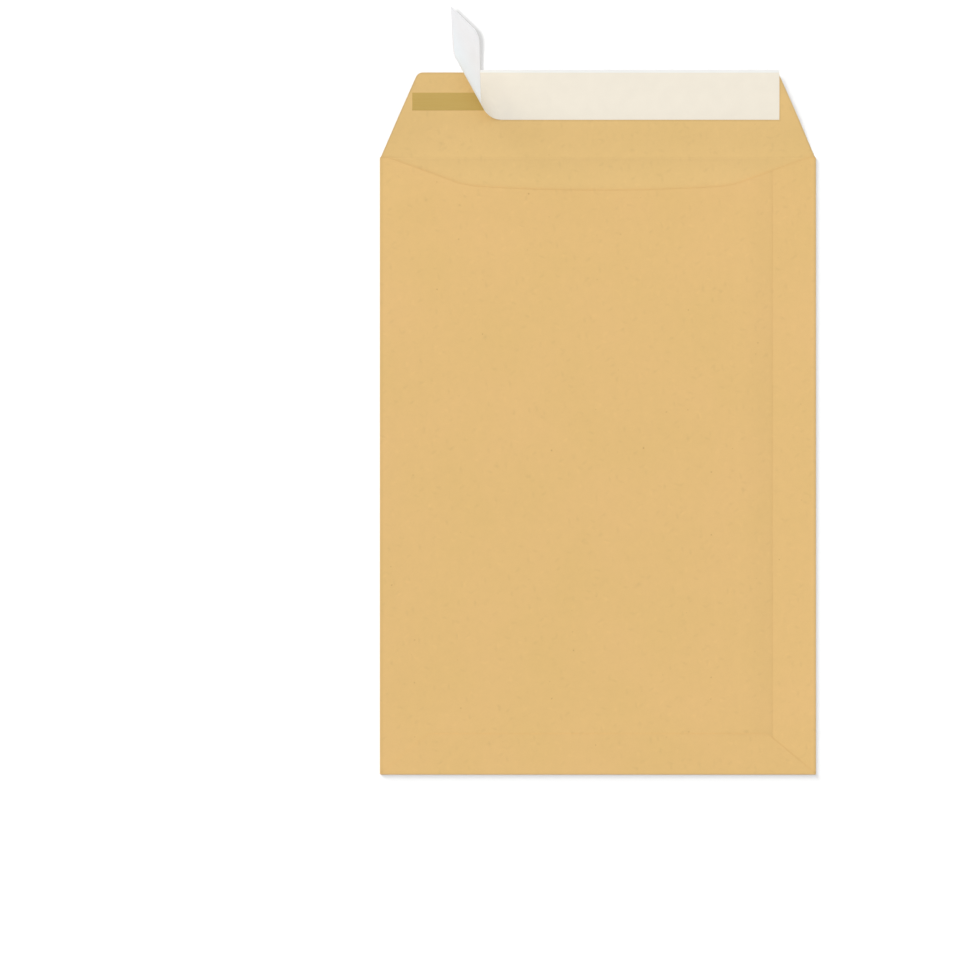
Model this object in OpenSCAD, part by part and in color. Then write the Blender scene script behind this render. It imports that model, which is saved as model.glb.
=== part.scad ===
// Self-seal window envelope in kraft paper, lying on its window side with the closing flap open.
// Its release liner is peeled back from the left end of the adhesive and curls up.
// X runs across the envelope, Y from the bottom fold to the closing flap, and Z is up.
// The origin is the middle of the front panel, on its outer face, which the envelope lies on.

/* [Body] */
// Width of the envelope over its two side folds
body_w = 229; // [200:1:260]
// Height of the envelope from the bottom fold to the fold of the closing flap
body_h = 324; // [260:1:380]
// Thickness of the kraft paper
paper_t = 0.12; // [0.1:0.01:0.16]
// Clear height inside the empty pocket, between the front panel and the seam flap
pocket_gap = 0.5; // [0.35:0.05:1.2]
// Thickness of the dried glue between two sheets
glue_t = 0.04; // [0.02:0.01:0.06]

/* [Side seam] */
// Distance of the back panel's free edge from the right side
seam_edge = 23; // [16:0.5:26]
// Width of the seam flap that turns in from the right side
seam_flap_w = 39; // [36:0.5:50]
// Bare paper left beside the seam glue
seam_glue_margin = 2; // [1:0.5:4]
// Bare paper left above and below the seam glue
seam_glue_end = 9; // [4:1:20]

/* [Throat] */
// Depth of the throat at the middle of the back panel, below the flap fold
throat_depth = 17.5; // [14:0.5:22]
// Slope of the throat's straight shoulders, in degrees
throat_slope = 20; // [17:0.5:24]
// Radius of the throat where it leaves the side folds
throat_shoulder_r = 20; // [12:1:26]
// Radius between a straight shoulder and the long middle arc
throat_fillet_r = 50; // [30:1:70]
// Radius of the long middle arc
throat_middle_r = 1000; // [800:10:1400]

/* [Bottom flap] */
// Height of the bottom flap above the bottom fold
bottom_flap_h = 21.5; // [16:0.5:30]
// Distance that each slanted end runs in from the side
bottom_flap_taper = 25.6; // [18:0.2:34]
// Radius of the bottom flap's two free corners
bottom_flap_r = 7; // [2:0.5:10]
// Bare paper left around the bottom glue
bottom_glue_margin = 4; // [2:0.5:6]

/* [Closing flap] */
// Height of the closing flap above its fold
flap_h = 44.4; // [36:0.2:60]
// Lean of the flap's ends from upright, in degrees
flap_lean = 24; // [15:0.5:30]
// Radius of the flap's two free corners
flap_r = 4; // [2:0.5:14]
// Step in of the flap's ends beside the side folds
flap_step = 0.3; // [0.2:0.1:2]
// Width of the scored crease at the flap fold
score_w = 0.9; // [0.6:0.1:1.4]
// Depth of the scored crease
score_d = 0.03; // [0.02:0.005:0.05]

/* [Window] */
// Width of the window
window_w = 90; // [60:1:100]
// Height of the window
window_h = 55; // [35:1:70]
// Radius of the window's corners
window_r = 3; // [1:0.5:8]
// Distance of the window from the side fold next to it
window_side = 20; // [17:1:28]
// Distance of the window below the flap fold
window_drop = 57; // [45:1:80]
// Thickness of the clear film
film_t = 0.04; // [0.03:0.01:0.06]
// Overlap of the film around the window
film_lap = 9; // [8:0.5:12]
// Width of the glue line that holds the film
film_glue_w = 4; // [2:0.5:5]
// Distance of that glue line from the window's edge
film_glue_gap = 2.5; // [1:0.5:3]

/* [Adhesive] */
// Length of the adhesive band on the flap
adhesive_len = 192.5; // [150:0.5:196]
// Width of the adhesive band
adhesive_w = 9.3; // [6:0.1:12]
// Thickness of the adhesive band
adhesive_t = 0.05; // [0.03:0.01:0.1]
// Distance of the band below the flap's free edge
adhesive_drop = 10.6; // [8:0.2:12]
// Shift of the band from the middle of the flap, to the left
adhesive_shift = 1.2; // [0:0.2:3]

/* [Release liner] */
// Width of the liner
liner_w = 26; // [24:0.5:30]
// Thickness of the liner
liner_t = 0.08; // [0.06:0.01:0.12]
// Reach of the liner past the flap's free edge
liner_reach = 1.2; // [0:0.2:2]
// Length that still sticks to the adhesive, along the liner's lower edge
liner_stuck = 144.7; // [90:0.1:148]
// Length that is peeled off, along the liner's lower edge
liner_peeled = 61.2; // [50:0.2:72]
// Radius of the free end's lower corner, where the liner is lifted
liner_corner_r = 5; // [2:0.5:8]
// Lean of the curl's rulings from the liner's width, in degrees
curl_lean = 28.8; // [15:0.2:34]
// Radius of the tight first bend of the curl
curl_r = 6.2; // [4:0.2:9]
// Angle that the tight bend turns through, in degrees
curl_turn = 54; // [30:1:70]
// Radius of the wider bend that follows it
curl_open_r = 15.8; // [11:0.2:24]
// Angle from the flap up to the straight free end, in degrees
curl_lift = 106; // [80:1:125]

/* [Hidden] */
$fn = 48;
// Straight pieces in the arc of a rounded corner
arc_steps = 10;
// Straight pieces in each half of the throat's long middle arc
middle_steps = 12;
// Rows of facets along the curl, and strips across it: in its rounded corner and past that
curl_rows = 40;
corner_strips = 4;
plain_strips = 4;

// Undersides of the layers above the front panel
seam_z = paper_t + pocket_gap;
back_z = seam_z + paper_t + glue_t;
bottom_flap_z = back_z + paper_t + glue_t;

// Outer radius of each half-round fold
left_fold_r = (back_z + paper_t) / 2;
right_fold_r = (seam_z + paper_t) / 2;
bottom_fold_r = (bottom_flap_z + paper_t) / 2;

// Lines where the flat panels meet the round of the folds
left_x = -body_w / 2 + left_fold_r;
right_x = body_w / 2 - right_fold_r;
bottom_y = -body_h / 2 + bottom_fold_r;
fold_y = body_h / 2;

back_edge_x = body_w / 2 - seam_edge;
seam_flap_x = body_w / 2 - seam_flap_w;
flap_top_y = fold_y + flap_h;
flap_base_x = body_w / 2 - flap_step;
flap_top_x = flap_base_x - flap_h * tan(flap_lean);
bottom_flap_y = -body_h / 2 + bottom_flap_h;
bottom_flap_x = body_w / 2 - bottom_flap_taper;
window_x = body_w / 2 - window_side - window_w;
window_y = fold_y - window_drop - window_h;

// Where the throat's long middle arc hands over to the fillet, from the condition that the
// arcs and the straight shoulder touch without a kink and end on the side fold
middle_end = throat_slope - acos(
    (
        body_w / 2 * sin(throat_slope) - throat_depth * cos(throat_slope)
        - throat_fillet_r - throat_shoulder_r
        + (throat_middle_r + throat_shoulder_r) * cos(throat_slope)
    ) / (throat_middle_r - throat_fillet_r)
);

// Right end of the adhesive and of the liner, and where the liner leaves the flap
adhesive_end_x = adhesive_len / 2 - adhesive_shift;
adhesive_y = flap_top_y - adhesive_drop - adhesive_w;
liner_y = flap_top_y + liner_reach - liner_w;
liner_z = paper_t + adhesive_t;
peel_x = adhesive_end_x - liner_stuck;

function unit(v) = v / norm(v);

// Arc of radius r that rounds the corner "at" between its neighbours
function corner_arc(before, at, after, r) =
    let (
        back = unit(before - at),
        on = unit(after - at),
        half = acos(back * on) / 2,
        centre = at + unit(back + on) * r / sin(half),
        start = at + back * r / tan(half) - centre,
        side = back.x * on.y - back.y * on.x > 0 ? -1 : 1,
        turn = side * (180 - 2 * half),
        from = atan2(start.y, start.x)
    )
    r == 0 ? [at] : [
        for (k = [0:arc_steps])
        let (angle = from + turn * k / arc_steps)
        centre + r * [cos(angle), sin(angle)]
    ];

// Outline through the points, with a radius at each of them
function rounded(points, radii) = [
    for (i = [0:len(points) - 1])
    each corner_arc(
        points[(i + len(points) - 1) % len(points)],
        points[i],
        points[(i + 1) % len(points)],
        radii[i]
    )
];

// Rectangle with one radius at its four corners, grown by a margin on every side
function rounded_rect(x, y, w, h, r, margin = 0) = rounded(
    [
        [x - margin, y - margin], [x + w + margin, y - margin],
        [x + w + margin, y + h + margin], [x - margin, y + h + margin]
    ],
    [r, r, r, r]
);

// Right half of the throat, from the middle of the panel out to the side fold
function throat_half() = let (
        middle_x = throat_middle_r * sin(middle_end),
        middle_rise = throat_middle_r * (1 - cos(middle_end))
    ) [
        for (k = [0:middle_steps])
        let (a = middle_end * k / middle_steps)
        [
            throat_middle_r * sin(a),
            fold_y - throat_depth + throat_middle_r * (1 - cos(a))
        ],
        for (k = [1:arc_steps])
        let (a = middle_end + (throat_slope - middle_end) * k / arc_steps)
        [
            middle_x + throat_fillet_r * (sin(a) - sin(middle_end)),
            fold_y - throat_depth + middle_rise + throat_fillet_r * (cos(middle_end) - cos(a))
        ],
        for (k = [0:arc_steps])
        let (a = throat_slope * (1 - k / arc_steps))
        [
            body_w / 2 - throat_shoulder_r * sin(a),
            fold_y - throat_shoulder_r * (1 - cos(a))
        ]
    ];

// Region behind the throat that the back panel and the seam flap are cut to
function pocket_outline() = let (half = throat_half()) concat(
    [[-body_w / 2, bottom_y], [body_w / 2, bottom_y]],
    [for (k = [len(half) - 1:-1:0]) half[k]],
    [for (k = [1:len(half) - 1]) [-half[k].x, half[k].y]]
);

// Half ring of paper around a fold, open towards +X
module half_ring(outer_r) {
    difference() {
        circle(outer_r);
        circle(outer_r - paper_t);
        translate([0, -outer_r]) square([outer_r, 2 * outer_r]);
    }
}

module left_fold() {
    translate([left_x, fold_y, left_fold_r])
        rotate([90, 0, 0])
            linear_extrude(fold_y - bottom_y) half_ring(left_fold_r);
}

module right_fold() {
    translate([right_x, fold_y, right_fold_r])
        mirror([1, 0, 0])
            rotate([90, 0, 0])
                linear_extrude(fold_y - bottom_y) half_ring(right_fold_r);
}

module bottom_fold() {
    translate([left_x, bottom_y, bottom_fold_r])
        rotate([90, 0, 90])
            linear_extrude(right_x - left_x) half_ring(bottom_fold_r);
}

// Front panel and closing flap in one flat sheet, with the window cut out
module front_sheet() {
    flap = rounded(
        [
            [-flap_base_x, fold_y], [flap_base_x, fold_y],
            [flap_top_x, flap_top_y], [-flap_top_x, flap_top_y]
        ],
        [0, 0, flap_r, flap_r]
    );
    linear_extrude(paper_t) difference() {
        union() {
            translate([left_x, bottom_y]) square([right_x - left_x, fold_y - bottom_y]);
            polygon(flap);
        }
        polygon(rounded_rect(window_x, window_y, window_w, window_h, window_r));
    }
}

// Part of a layer that lies between two lines and inside the throat
module pocket_sheet(z, from_x, to_x) {
    translate([0, 0, z])
        linear_extrude(paper_t) intersection() {
            polygon(pocket_outline());
            translate([from_x, bottom_y]) square([to_x - from_x, fold_y - bottom_y]);
        }
}

module bottom_flap() {
    outline = rounded(
        [
            [left_x, bottom_y], [right_x, bottom_y],
            [bottom_flap_x, bottom_flap_y], [-bottom_flap_x, bottom_flap_y]
        ],
        [0, 0, bottom_flap_r, bottom_flap_r]
    );
    translate([0, 0, bottom_flap_z]) linear_extrude(paper_t) polygon(outline);
}

// Shallow round-bottomed groove that the creasing wheel leaves along the flap fold
module score_groove() {
    groove_r = (pow(score_w / 2, 2) + pow(score_d, 2)) / (2 * score_d);
    translate([left_x, fold_y, paper_t - score_d + groove_r])
        rotate([0, 90, 0]) cylinder(h = right_x - left_x, r = groove_r);
}

module paper_blank() {
    color("#e2bc7e") difference() {
        union() {
            front_sheet();
            left_fold();
            right_fold();
            bottom_fold();
            pocket_sheet(seam_z, seam_flap_x, right_x);
            pocket_sheet(back_z, left_x, back_edge_x);
            bottom_flap();
        }
        score_groove();
    }
}

module window_film() {
    color("#dfe4e2", 0.5)
        translate([0, 0, paper_t + glue_t])
            linear_extrude(film_t)
                polygon(rounded_rect(window_x, window_y, window_w, window_h, window_r, film_lap));
}

module window_glue() {
    color("#efe8cc") translate([0, 0, paper_t]) linear_extrude(glue_t) difference() {
        polygon(rounded_rect(
            window_x, window_y, window_w, window_h, window_r + film_glue_w,
            film_glue_gap + film_glue_w
        ));
        polygon(rounded_rect(window_x, window_y, window_w, window_h, window_r, film_glue_gap));
    }
}

module seam_glue() {
    from_x = seam_flap_x + seam_glue_margin;
    from_y = bottom_y + seam_glue_end;
    color("#efe8cc")
        translate([from_x, from_y, seam_z + paper_t])
            cube([
                back_edge_x - seam_glue_margin - from_x,
                fold_y - throat_depth - seam_glue_end - from_y,
                glue_t
            ]);
}

module bottom_flap_glue() {
    from_y = bottom_y + bottom_glue_margin;
    color("#efe8cc")
        translate([-bottom_flap_x, from_y, back_z + paper_t])
            cube([
                bottom_flap_x + back_edge_x - bottom_glue_margin,
                bottom_flap_y - bottom_glue_margin - from_y,
                glue_t
            ]);
}

module flap_adhesive() {
    color("#c3a560")
        translate([adhesive_end_x - adhesive_len, adhesive_y, paper_t])
            cube([adhesive_len, adhesive_w, adhesive_t]);
}

// Run, rise and slope of the liner's underside, at a distance past the line where it leaves
// the flap: a tight bend, a wider bend the same way, and the straight free end
function curl(s) =
    let (
        tight = curl_r * curl_turn * PI / 180,
        open = tight + curl_open_r * (curl_lift - curl_turn) * PI / 180,
        slope = s <= tight ? max(0, s) / curl_r * 180 / PI
            : min(curl_lift, curl_turn + (s - tight) / curl_open_r * 180 / PI),
        first = min(slope, curl_turn),
        second = max(slope, curl_turn),
        beyond = max(0, s - open)
    )
    [
        min(0, s) + curl_r * sin(first) + curl_open_r * (sin(second) - sin(curl_turn))
            + beyond * cos(curl_lift),
        curl_r * (1 - cos(first)) + curl_open_r * (cos(curl_turn) - cos(second))
            + beyond * sin(curl_lift),
        slope
    ];

// Point of the curled liner: u runs left from the peel line, v across the strip from its
// lower edge, and t is the distance above its underside
function liner_point(u, v, t) =
    let (
        bent = curl(u * cos(curl_lean) - v * sin(curl_lean)),
        along = u * sin(curl_lean) + v * cos(curl_lean),
        run = bent[0] - t * sin(bent[2])
    )
    [
        peel_x - along * sin(curl_lean) - run * cos(curl_lean),
        liner_y + along * cos(curl_lean) - run * sin(curl_lean),
        liner_z + bent[1] + t * cos(bent[2])
    ];

// Place of each strip's edge across the liner, closer together in the rounded corner
function strip_v(strip) =
    strip <= corner_strips ? liner_corner_r * (1 - cos(90 * strip / corner_strips))
    : liner_corner_r + (liner_w - liner_corner_r) * (strip - corner_strips) / plain_strips;

// Length that is peeled off along the edge of a strip
function strip_peeled(strip) =
    liner_peeled - (
        strip < corner_strips ? liner_corner_r * (1 - sin(90 * strip / corner_strips)) : 0
    );

function liner_index(row, strip, top) =
    (row * (corner_strips + plain_strips + 1) + strip) * 2 + top;

function two_triangles(a, b, c, d) = [[a, b, c], [a, c, d]];

// Rows run from the stuck end (row 0) and the peel line (row 1) to the free end; on the way
// they turn from the lean of the curl to the cut of the end
module release_liner() {
    last = curl_rows + 1;
    strips = corner_strips + plain_strips;
    points = [
        for (row = [0:last], strip = [0:strips])
        let (
            v = strip_v(strip),
            share = (row - 1) / curl_rows,
            u = row == 0 ? -liner_stuck
                : v * tan(curl_lean) * (1 - share) + strip_peeled(strip) * share
        )
        each [liner_point(u, v, 0), liner_point(u, v, liner_t)]
    ];
    faces = [
        for (row = [0:last - 1], strip = [0:strips - 1], top = [0, 1])
        let (
            a = liner_index(row, strip, top),
            b = liner_index(row + 1, strip, top),
            c = liner_index(row + 1, strip + 1, top),
            d = liner_index(row, strip + 1, top)
        )
        each top == 1 ? two_triangles(a, b, c, d) : two_triangles(a, d, c, b),
        for (row = [0:last - 1], strip = [0, strips])
        let (
            a = liner_index(row, strip, 0),
            b = liner_index(row + 1, strip, 0),
            c = liner_index(row + 1, strip, 1),
            d = liner_index(row, strip, 1)
        )
        each strip == 0 ? two_triangles(a, b, c, d) : two_triangles(a, d, c, b),
        for (row = [0, last], strip = [0:strips - 1])
        let (
            a = liner_index(row, strip, 0),
            b = liner_index(row, strip, 1),
            c = liner_index(row, strip + 1, 1),
            d = liner_index(row, strip + 1, 0)
        )
        each row == 0 ? two_triangles(a, b, c, d) : two_triangles(a, d, c, b)
    ];
    color("#f1eada") polyhedron(points, faces);
}

paper_blank();
window_film();
window_glue();
seam_glue();
bottom_flap_glue();
flap_adhesive();
release_liner();
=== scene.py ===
"""Looks of a self-seal kraft window envelope, lying on its window side with the flap open.

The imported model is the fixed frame. The paper, liner, adhesive and film are rebuilt as closed
thin sheets with the small unevenness of real paper, in the same places as their CAD solids.
Lengths are in millimetres until a mesh is made, and in metres after that.
"""

import logging
import math
from dataclasses import dataclass, field
from enum import Enum

import bpy
import numpy as np
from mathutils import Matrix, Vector, noise


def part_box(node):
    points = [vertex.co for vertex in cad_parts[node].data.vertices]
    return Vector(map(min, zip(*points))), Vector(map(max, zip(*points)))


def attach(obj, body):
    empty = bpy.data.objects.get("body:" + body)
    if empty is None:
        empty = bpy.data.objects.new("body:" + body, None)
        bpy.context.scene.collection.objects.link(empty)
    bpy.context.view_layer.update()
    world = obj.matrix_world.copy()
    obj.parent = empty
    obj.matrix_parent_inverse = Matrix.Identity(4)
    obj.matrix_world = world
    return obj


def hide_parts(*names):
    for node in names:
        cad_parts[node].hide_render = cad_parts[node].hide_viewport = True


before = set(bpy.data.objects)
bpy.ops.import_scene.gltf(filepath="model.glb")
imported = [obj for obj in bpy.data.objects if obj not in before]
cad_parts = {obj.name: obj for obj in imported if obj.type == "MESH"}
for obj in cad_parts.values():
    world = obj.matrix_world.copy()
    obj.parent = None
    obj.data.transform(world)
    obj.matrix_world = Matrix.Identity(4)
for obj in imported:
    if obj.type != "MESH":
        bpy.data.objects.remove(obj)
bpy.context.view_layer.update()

MM = 0.001
PHOTO_SIDE_PX = 960
LOG = logging.getLogger("envelope")

Tree = bpy.types.NodeTree
Socket = bpy.types.NodeSocket
Material = bpy.types.Material
Piece = bpy.types.Object


class Layer(Enum):
    """Panel level of the folded envelope, from the table up."""

    FRONT = "front panel and closing flap"
    SEAM = "seam flap"
    BACK = "back panel"
    BOTTOM = "bottom flap"

    @property
    def facing(self) -> float:
        """Direction that the inner face looks to, 1 for up and -1 for down."""
        return 1.0 if self is Layer.FRONT else -1.0


class Side(Enum):
    """Faces of a closed thin sheet, by the material slot that each one takes."""

    INNER = 0
    OUTER = 1
    EDGE = 2


class ShadeAndTone(Enum):
    """Tone of paper, in the units of the "tone" attribute: mostly painted shade and a painted
    highlight, and darker paper over the glue.
    """

    RIGHT_FOLD_HIGHLIGHT = 0.8
    BOTTOM_FOLD_SHADE = -0.8
    SIDE_FOLD_SHADE = -1.3
    CREASE_SHADE = -0.25
    THROAT_EDGE_SHADE = -0.45
    FLAP_EDGE_SHADE = -2.0
    OVER_GLUE = -0.35
    BOTTOM_FLAP_EDGE_SHADE = -0.4
    IN_SHADE = -0.65
    LOWER_DARKENING = -0.3
    MARGIN_SHADE = -0.6


def srgb(code: str) -> tuple[float, float, float, float]:
    """Turn an sRGB hex code into the linear colour that a shader socket takes.

    Args:
        code: Colour such as "#e2bc7e".

    Returns:
        Linear red, green and blue, with an alpha of 1.
    """
    parts = [int(code[i:i + 2], 16) / 255 for i in (1, 3, 5)]
    linear = [p / 12.92 if p <= 0.04045 else ((p + 0.055) / 1.055) ** 2.4 for p in parts]
    return (linear[0], linear[1], linear[2], 1.0)


def smooth(value: np.ndarray | float) -> np.ndarray | float:
    """Ease from 0 to 1 with no kink at either end.

    Args:
        value: Share of the way, which is cut to the range 0 to 1.

    Returns:
        Eased share of the way.
    """
    share = np.clip(value, 0.0, 1.0)
    return share * share * (3 - 2 * share)


def steps(low: float, high: float, pitch: float) -> list[float]:
    """Divide a length into equal steps no longer than the pitch.

    Args:
        low: First value.
        high: Last value.
        pitch: Longest step.

    Returns:
        Values from low to high, both included.
    """
    count = max(1, math.ceil((high - low) / pitch))
    return [low + (high - low) * i / count for i in range(count + 1)]


def joined(*runs: list[float]) -> np.ndarray:
    """Join runs of values into one rising list that holds each value once.

    Args:
        runs: Lists of values, in any order.

    Returns:
        Sorted values, with those closer than a thousandth taken as one.
    """
    return np.unique(np.round(np.concatenate([np.asarray(run) for run in runs]), 3))


def rounding(radius: float, count: int) -> list[float]:
    """Space lines over a rounded corner, closer together where its outline is steep.

    Args:
        radius: Radius of the corner.
        count: Steps round its quarter turn.

    Returns:
        Distances from the side that the corner starts at, from 0 to the radius.
    """
    return [radius * (1 - math.cos(math.pi / 2 * k / count)) for k in range(count + 1)]


def in_mm(corner: Vector) -> tuple[float, ...]:
    """Turn a corner of a CAD box from metres into millimetres."""
    return tuple(value / MM for value in corner)


@dataclass
class ThinSheet:
    """Grid patches of one sheet, welded at their shared points and thickened into a solid."""

    thickness: float
    weld: float = 0.002
    points: list[np.ndarray] = field(default_factory=list)
    normals: list[np.ndarray] = field(default_factory=list)
    lifts: list[float] = field(default_factory=list)
    dents: list[float] = field(default_factory=list)
    tones: list[float] = field(default_factory=list)
    quads: list[tuple[int, ...]] = field(default_factory=list)
    known: dict[tuple[int, ...], int] = field(default_factory=dict)

    def add_patch(
        self,
        grid: np.ndarray,
        normals: np.ndarray,
        lift: np.ndarray | None = None,
        dent: np.ndarray | None = None,
        tone: np.ndarray | None = None,
        skip: np.ndarray | None = None,
    ) -> None:
        """Add a grid of points on the sheet's middle surface.

        Args:
            grid: Points, rows by columns by three.
            normals: Directions of the inner face at those points.
            lift: Rise of the whole sheet at each point.
            dent: Depth pressed into the inner face at each point.
            tone: Value of the "tone" attribute at each point.
            skip: True for each cell that is a hole.
        """
        rows, columns = grid.shape[:2]
        index = np.zeros((rows, columns), int)
        for i in range(rows):
            for j in range(columns):
                key = tuple(int(round(c / self.weld)) for c in grid[i, j])
                if key not in self.known:
                    self.known[key] = len(self.points)
                    self.points.append(grid[i, j])
                    self.normals.append(normals[i, j])
                    self.lifts.append(0.0 if lift is None else float(lift[i, j]))
                    self.dents.append(0.0 if dent is None else float(dent[i, j]))
                    self.tones.append(0.0 if tone is None else float(tone[i, j]))
                index[i, j] = self.known[key]
        across = grid[0, 1] - grid[0, 0]
        along = grid[1, 0] - grid[0, 0]
        turned = float(np.dot(np.cross(across, along), normals[0, 0])) < 0
        for i in range(rows - 1):
            for j in range(columns - 1):
                if skip is not None and skip[i, j]:
                    continue
                corners = [index[i, j], index[i, j + 1], index[i + 1, j + 1], index[i + 1, j]]
                distinct = list(dict.fromkeys(int(c) for c in corners))
                if len(distinct) >= 3:
                    self.quads.append(tuple(reversed(distinct) if turned else distinct))

    def add_level(
        self, xs: np.ndarray, ys: np.ndarray, z: float, facing: float = 1.0,
        **values: np.ndarray | None,
    ) -> None:
        """Add a patch whose middle surface is level.

        Args:
            xs: Place across the envelope of each point, rows by columns.
            ys: Place along the envelope of each point.
            z: Level of the middle surface.
            facing: Direction that the inner face looks to, 1 for up and -1 for down.
            values: Lift, dent, tone and skip, as add_patch takes them.
        """
        grid = np.stack([xs, ys, np.full(xs.shape, z)], axis=-1)
        normals = np.zeros(grid.shape)
        normals[..., 2] = facing
        self.add_patch(grid, normals, **values)

    def build(self, name: str, finishes: dict[Side, Material]) -> Piece:
        """Close the sheet into a solid and link it to the scene.

        Args:
            name: Name of the piece.
            finishes: Material of each side of the sheet.

        Returns:
            The new object, at the origin, in metres.
        """
        middle = np.array(self.points)
        normals = np.array(self.normals)
        half = self.thickness / 2
        raised = middle + np.outer(self.lifts, (0, 0, 1))
        inner = raised + normals * (half - np.array(self.dents))[:, None]
        outer = raised - normals * half
        count = len(middle)
        faces = list(self.quads) + [tuple(c + count for c in reversed(q)) for q in self.quads]
        sides = [Side.INNER] * len(self.quads) + [Side.OUTER] * len(self.quads)
        edges = dict.fromkeys(
            pair for quad in self.quads for pair in zip(quad, quad[1:] + quad[:1])
        )
        rim = [(a, b) for a, b in edges if (b, a) not in edges]
        for a, b in rim:
            faces.append((b, a, a + count, b + count))
            sides.append(Side.EDGE)

        mesh = bpy.data.meshes.new(name)
        mesh.from_pydata((np.concatenate([inner, outer]) * MM).tolist(), [], faces)
        for side in Side:
            mesh.materials.append(finishes[side])
        mesh.polygons.foreach_set("material_index", [side.value for side in sides])
        mesh.polygons.foreach_set("use_smooth", [side is not Side.EDGE for side in sides])
        sharp = {tuple(sorted(pair)) for pair in rim}
        sharp |= {(a + count, b + count) for a, b in sharp}
        for edge in mesh.edges:
            edge.use_edge_sharp = tuple(sorted(edge.vertices)) in sharp
        tone = mesh.attributes.new("tone", "FLOAT", "POINT")
        tone.data.foreach_set("value", self.tones * 2)
        mesh.validate()
        piece = bpy.data.objects.new(name, mesh)
        bpy.context.scene.collection.objects.link(piece)
        return piece


def add_node(
    tree: Tree,
    kind: str,
    settings: dict[str, object] | None = None,
    links: dict[str | int, object] | None = None,
) -> bpy.types.Node:
    """Add a node with its settings, and set or link its inputs.

    Args:
        tree: Node tree that takes the node.
        kind: Type of the node, such as "ShaderNodeTexNoise".
        settings: Properties of the node and their values.
        links: Input names or numbers, each with a value or with the output socket to link.

    Returns:
        The new node.
    """
    node = tree.nodes.new(kind)
    for name, value in (settings or {}).items():
        setattr(node, name, value)
    for name, value in (links or {}).items():
        if isinstance(value, Socket):
            tree.links.new(value, node.inputs[name])
        else:
            node.inputs[name].default_value = value
    return node


def new_material(name: str) -> tuple[Material, Tree]:
    """Make a material with an empty node tree.

    Args:
        name: Name of the material.

    Returns:
        The material and its node tree.
    """
    material = bpy.data.materials.new(name)
    material.use_nodes = True
    material.node_tree.nodes.clear()
    return material, material.node_tree


@dataclass(frozen=True)
class Finish:
    """Finish of one real material, on a shader whose inputs each kind of finish works out."""

    name: str

    def build(self) -> Material:
        """Build the material under its own name.

        Returns:
            The material.
        """
        material, tree = new_material(self.name)
        place = add_node(tree, "ShaderNodeTexCoord").outputs["Object"]
        shader = add_node(tree, "ShaderNodeBsdfPrincipled", links=self.inputs(tree, place))
        add_node(tree, "ShaderNodeOutputMaterial", links={"Surface": shader.outputs["BSDF"]})
        return material

    def inputs(self, tree: Tree, place: Socket) -> dict[str, object]:
        """Add the nodes of the finish.

        Args:
            tree: Node tree that takes the nodes.
            place: Socket with the places on the piece.

        Returns:
            Inputs of the shader, each with a value or a socket.
        """
        raise NotImplementedError(self.name)


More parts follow.
